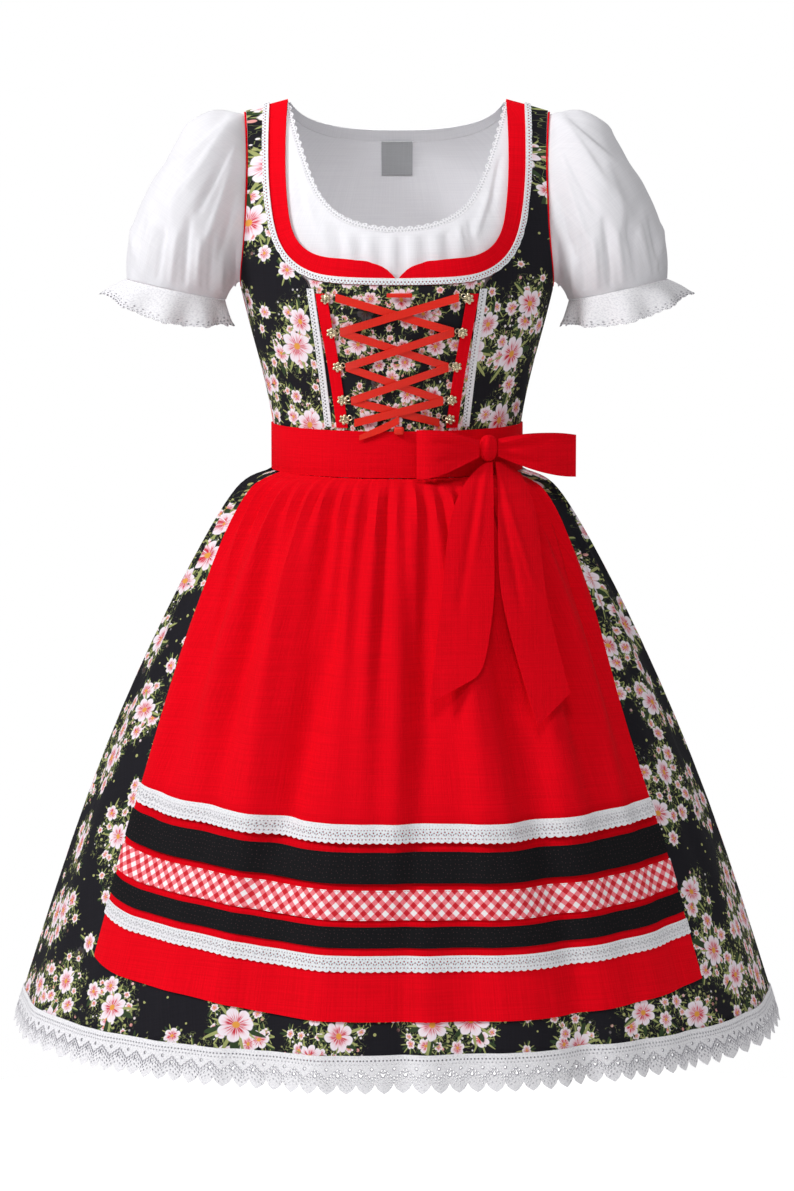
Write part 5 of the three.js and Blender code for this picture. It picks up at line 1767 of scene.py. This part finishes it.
@dataclass
class Blouse:
    """White blouse: body, neck lace and casing, puff sleeves and cuff frills."""

    frame: dict
    dyes: Dyes
    radius: float = 110.0
    drop: float = 0.2
    label_drop: float = 0.036
    neck_front: float = 50.0
    neck_back: float = 10.0
    neck_stations: int = 60
    lace_pitch: float = 9.2
    lace_depth: float = 4.6
    sleeve_axis: Axis = Axis((150.0, 0.0, -96.0), (236.0, 0.0, -214.0))
    sleeve_radius: float = 70.0
    sleeve_drop: float = 0.21
    frill_radius: float = 42.0
    frill_stations: int = 72
    frill_pitch: float = 6.4
    frill_rim: float = 7.0
    frill_depth: float = 2.0
    frill_arch: float = 0.8
    frill_drop: float = 0.022

    def build(self) -> None:
        """Builds the blouse's pieces."""
        for half, back in HALVES:
            cloth = Cloth(self.frame, "blouse_" + half, FINE)
            cloth.chart_round(self.radius, back)
            if not back:
                cloth.crease(NECK_CREASES, BODY_AXIS)
            cloth.hand_over(self.dyes, Finish.WHITE, self.drop)
        self.lace()
        casing = Cloth(self.frame, "blouse_neck_casing", FINE)
        self.edge_neck(casing, casing.round_neck(self.neck_back, self.neck_stations), Finish.WHITE)
        label = Cloth(self.frame, "neck_label", COARSE)
        label.chart(label.seen())
        label.hand_over(self.dyes, Finish.LABEL, self.label_drop)
        start, end = self.sleeve_axis.start, self.sleeve_axis.end
        for side, sign in (("right", 1.0), ("left", -1.0)):
            axis = Axis((sign * start[0], *start[1:]), (sign * end[0], *end[1:]))
            sleeve = Cloth(self.frame, "sleeve_" + side, FINE)
            self.chart_sleeve(sleeve, axis)
            sleeve.crease(SLEEVE_CREASES, axis, sign < 0)
            sleeve.hand_over(self.dyes, Finish.WHITE, self.sleeve_drop)
            frill = Cloth(self.frame, "cuff_frill_" + side, FINE)
            self.edge_frill(frill, axis)
            frill.hand_over(self.dyes, Finish.FRILL, self.frill_drop)

    def lace(self) -> None:
        """Builds the lace round the neck's front and scallops its free edge."""
        lace = Cloth(self.frame, "blouse_neck_lace", FINEST)
        strip = lace.round_neck(self.neck_front, self.neck_stations)
        lace.shift(strip.side, -scallops(strip.along, strip.off / strip.half, self.lace_pitch, self.lace_depth, 1.0))
        self.edge_neck(lace, strip, Finish.NECK_LACE)

    def edge_neck(self, cloth: Cloth, strip: Strip, finish: Finish) -> None:
        """Lays one half of the neck's edging flat and hands it over.

        Args:
            cloth: the edging.
            strip: its measures.
            finish: its finish.
        """
        cloth.chart(np.stack([strip.along, strip.half - strip.off], axis=1))
        cloth.hand_over(self.dyes, finish, 2 * strip.half * MM)

    def round_arm(self, cloth: Cloth, axis: Axis) -> tuple[np.ndarray, np.ndarray, np.ndarray]:
        """Angle of each point about the arm, its place along it, and the arm's direction.

        Args:
            cloth: the piece.
            axis: the arm's middle line.

        Returns:
            Angles, places in millimetres and a unit direction.
        """
        start = np.array(axis.start)
        run = np.array(axis.end) - start
        run = run / np.linalg.norm(run)
        gap = cloth.points - start
        high = np.cross(run, (0.0, 1.0, 0.0))
        return np.arctan2(gap[:, 1], gap @ high), gap @ run, run

    def chart_sleeve(self, cloth: Cloth, axis: Axis) -> None:
        """Lays a sleeve flat by its angle and place along the arm.

        Args:
            cloth: the piece.
            axis: the arm's middle line.
        """
        turn, reach, _ = self.round_arm(cloth, axis)
        cloth.chart(np.stack([turn * self.sleeve_radius, reach], axis=1))

    def edge_frill(self, cloth: Cloth, axis: Axis) -> None:
        """Scallops a frill's free edge and lays the frill flat from that edge.

        Args:
            cloth: the frill.
            axis: the arm's middle line.
        """
        turn, reach, run = self.round_arm(cloth, axis)
        stations = np.linspace(-math.pi, math.pi, self.frill_stations + 1)
        spot = np.clip(np.digitize(turn, stations) - 1, 0, self.frill_stations - 1)
        middles = (stations[:-1] + stations[1:]) / 2
        edges = np.array([reach[spot == k].max() for k in range(self.frill_stations)])
        off = np.interp(turn, middles, edges, period=2 * math.pi) - reach
        along = turn * self.frill_radius
        share = scallops(along, 1 - off / self.frill_rim, self.frill_pitch, self.frill_depth, self.frill_arch)
        cloth.points = cloth.points - share[:, None] * run
        cloth.chart(np.stack([along, np.maximum(off, 0) + share], axis=1))


def finished(made: bmesh.types.BMesh, name: str) -> bpy.types.Object:
    """Turns a worked mesh into an object of the scene.

    Args:
        made: the worked mesh, which is freed.
        name: the object's name.

    Returns:
        The new object.
    """
    mesh = bpy.data.meshes.new(name)
    made.to_mesh(mesh)
    made.free()
    mesh.shade_smooth()
    mesh.set_sharp_from_angle(angle=EDGE_ANGLE)
    piece = bpy.data.objects.new(name, mesh)
    bpy.context.scene.collection.objects.link(piece)
    return piece


@dataclass(frozen=True)
class Lamp:
    """Soft square light aimed at the set: its name, place and size in metres, and power in watts."""

    name: str
    place: tuple[float, float, float]
    size: float
    power: float


@dataclass
class Studio:
    """Camera, lights and pale floor, in metres, degrees and watts."""

    target: tuple[float, float, float] = (0.0, 0.0, -0.5223)
    distance: float = 3.6
    elevation: float = 6.0
    lens: float = 68.43
    sensor: float = 24.0
    farthest: float = 50.0
    floor: float = -1.42
    floor_size: float = 1.6
    floor_sides: int = 96
    floor_glow: float = 0.62
    ambient: float = 0.32
    neck_place: tuple[float, float, float] = (0.0, -1.6, 1.3)
    neck_aim: tuple[float, float, float] = (0.0, 0.08, -0.085)
    neck_beam: float = 6.6
    neck_power: float = 165.0
    neck_size: float = 0.12
    lamps: tuple[Lamp, ...] = (
        Lamp("key", (-2.75, -1.45, 1.5), 0.8, 80.0), Lamp("top", (-0.1, -2.0, 1.9), 0.8, 24.0),
        Lamp("fill", (2.2, -2.4, 0.1), 1.8, 3.0), Lamp("rim", (0.6, 2.4, 1.4), 1.6, 10.0),
    )

    def camera(self) -> None:
        """Sets the camera at the picture's angle."""
        data = bpy.data.cameras.new("camera")
        data.sensor_fit = "VERTICAL"
        data.sensor_height = self.sensor
        data.lens = self.lens
        data.clip_end = self.farthest
        camera = bpy.data.objects.new("camera", data)
        rise = math.radians(self.elevation)
        away = Vector((0, -math.cos(rise), math.sin(rise))) * self.distance
        camera.location = Vector(self.target) + away
        camera.rotation_euler = (math.pi / 2 - rise, 0, 0)
        bpy.context.scene.collection.objects.link(camera)
        bpy.context.scene.camera = camera

    def hang(self, data: bpy.types.Light, place: tuple, aim: tuple) -> None:
        """Hangs a light.

        Args:
            data: the light.
            place: where it hangs.
            aim: what it is aimed at.
        """
        lamp = bpy.data.objects.new(data.name, data)
        lamp.location = place
        lamp.rotation_euler = (Vector(aim) - Vector(place)).to_track_quat("-Z", "Y").to_euler()
        bpy.context.scene.collection.objects.link(lamp)

    def light(self, lamp: Lamp) -> None:
        """Adds one of the lamps.

        Args:
            lamp: the lamp.
        """
        data = bpy.data.lights.new(lamp.name, "AREA")
        data.shape = "SQUARE"
        data.size = lamp.size
        data.energy = lamp.power
        self.hang(data, lamp.place, self.target)

    def neck_light(self) -> None:
        """Adds a narrow soft light that reaches into the neck."""
        data = bpy.data.lights.new("neck", "SPOT")
        data.energy = self.neck_power
        data.spot_size = math.radians(self.neck_beam)
        data.spot_blend = 1.0
        data.shadow_soft_size = self.neck_size
        self.hang(data, self.neck_place, self.neck_aim)

    def build(self) -> None:
        """Lays the floor and hangs the lights."""
        made = bmesh.new()
        bmesh.ops.create_circle(made, cap_ends=True, segments=self.floor_sides, radius=self.floor_size)
        bmesh.ops.translate(made, verts=made.verts, vec=(0, 0, self.floor))
        floor = finished(made, "floor")
        recipe = Recipe("studio_floor")
        recipe.set(Base_Color=dye(250, 250, 250), Roughness=0.9, Specular_IOR_Level=0.0)
        recipe.set(Emission_Color=dye(255, 255, 255), Emission_Strength=self.floor_glow)
        floor.data.materials.append(recipe.material)
        self.sky()
        bpy.context.scene.view_settings.view_transform = "Standard"
        for lamp in self.lamps:
            self.light(lamp)
        self.neck_light()

    def sky(self) -> None:
        """Surrounds the set with white that lights it less than it shows."""
        world = bpy.data.worlds.new("studio")
        world.use_nodes = True
        tree = world.node_tree
        backdrop = tree.nodes["Background"]
        backdrop.inputs[0].default_value = (1.0, 1.0, 1.0, 1.0)
        path = tree.nodes.new("ShaderNodeLightPath")
        mix = tree.nodes.new("ShaderNodeMapRange")
        mix.inputs[3].default_value = self.ambient
        mix.inputs[4].default_value = 1.0
        tree.links.new(path.outputs["Is Camera Ray"], mix.inputs[0])
        tree.links.new(mix.outputs[0], backdrop.inputs[1])
        bpy.context.scene.world = world


def main() -> None:
    """Builds the scene piece by piece."""
    logging.basicConfig(level=logging.INFO, format="%(message)s")
    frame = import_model()
    studio = Studio()
    studio.camera()
    dyes = Dyes()
    Skirt(frame, dyes).build()
    Apron(frame, dyes).build()
    Bow(frame, dyes).build()
    Bodice(frame, dyes).build()
    Closing(frame, dyes).build()
    Blouse(frame, dyes).build()
    studio.build()


if __name__ == "__main__":
    main()
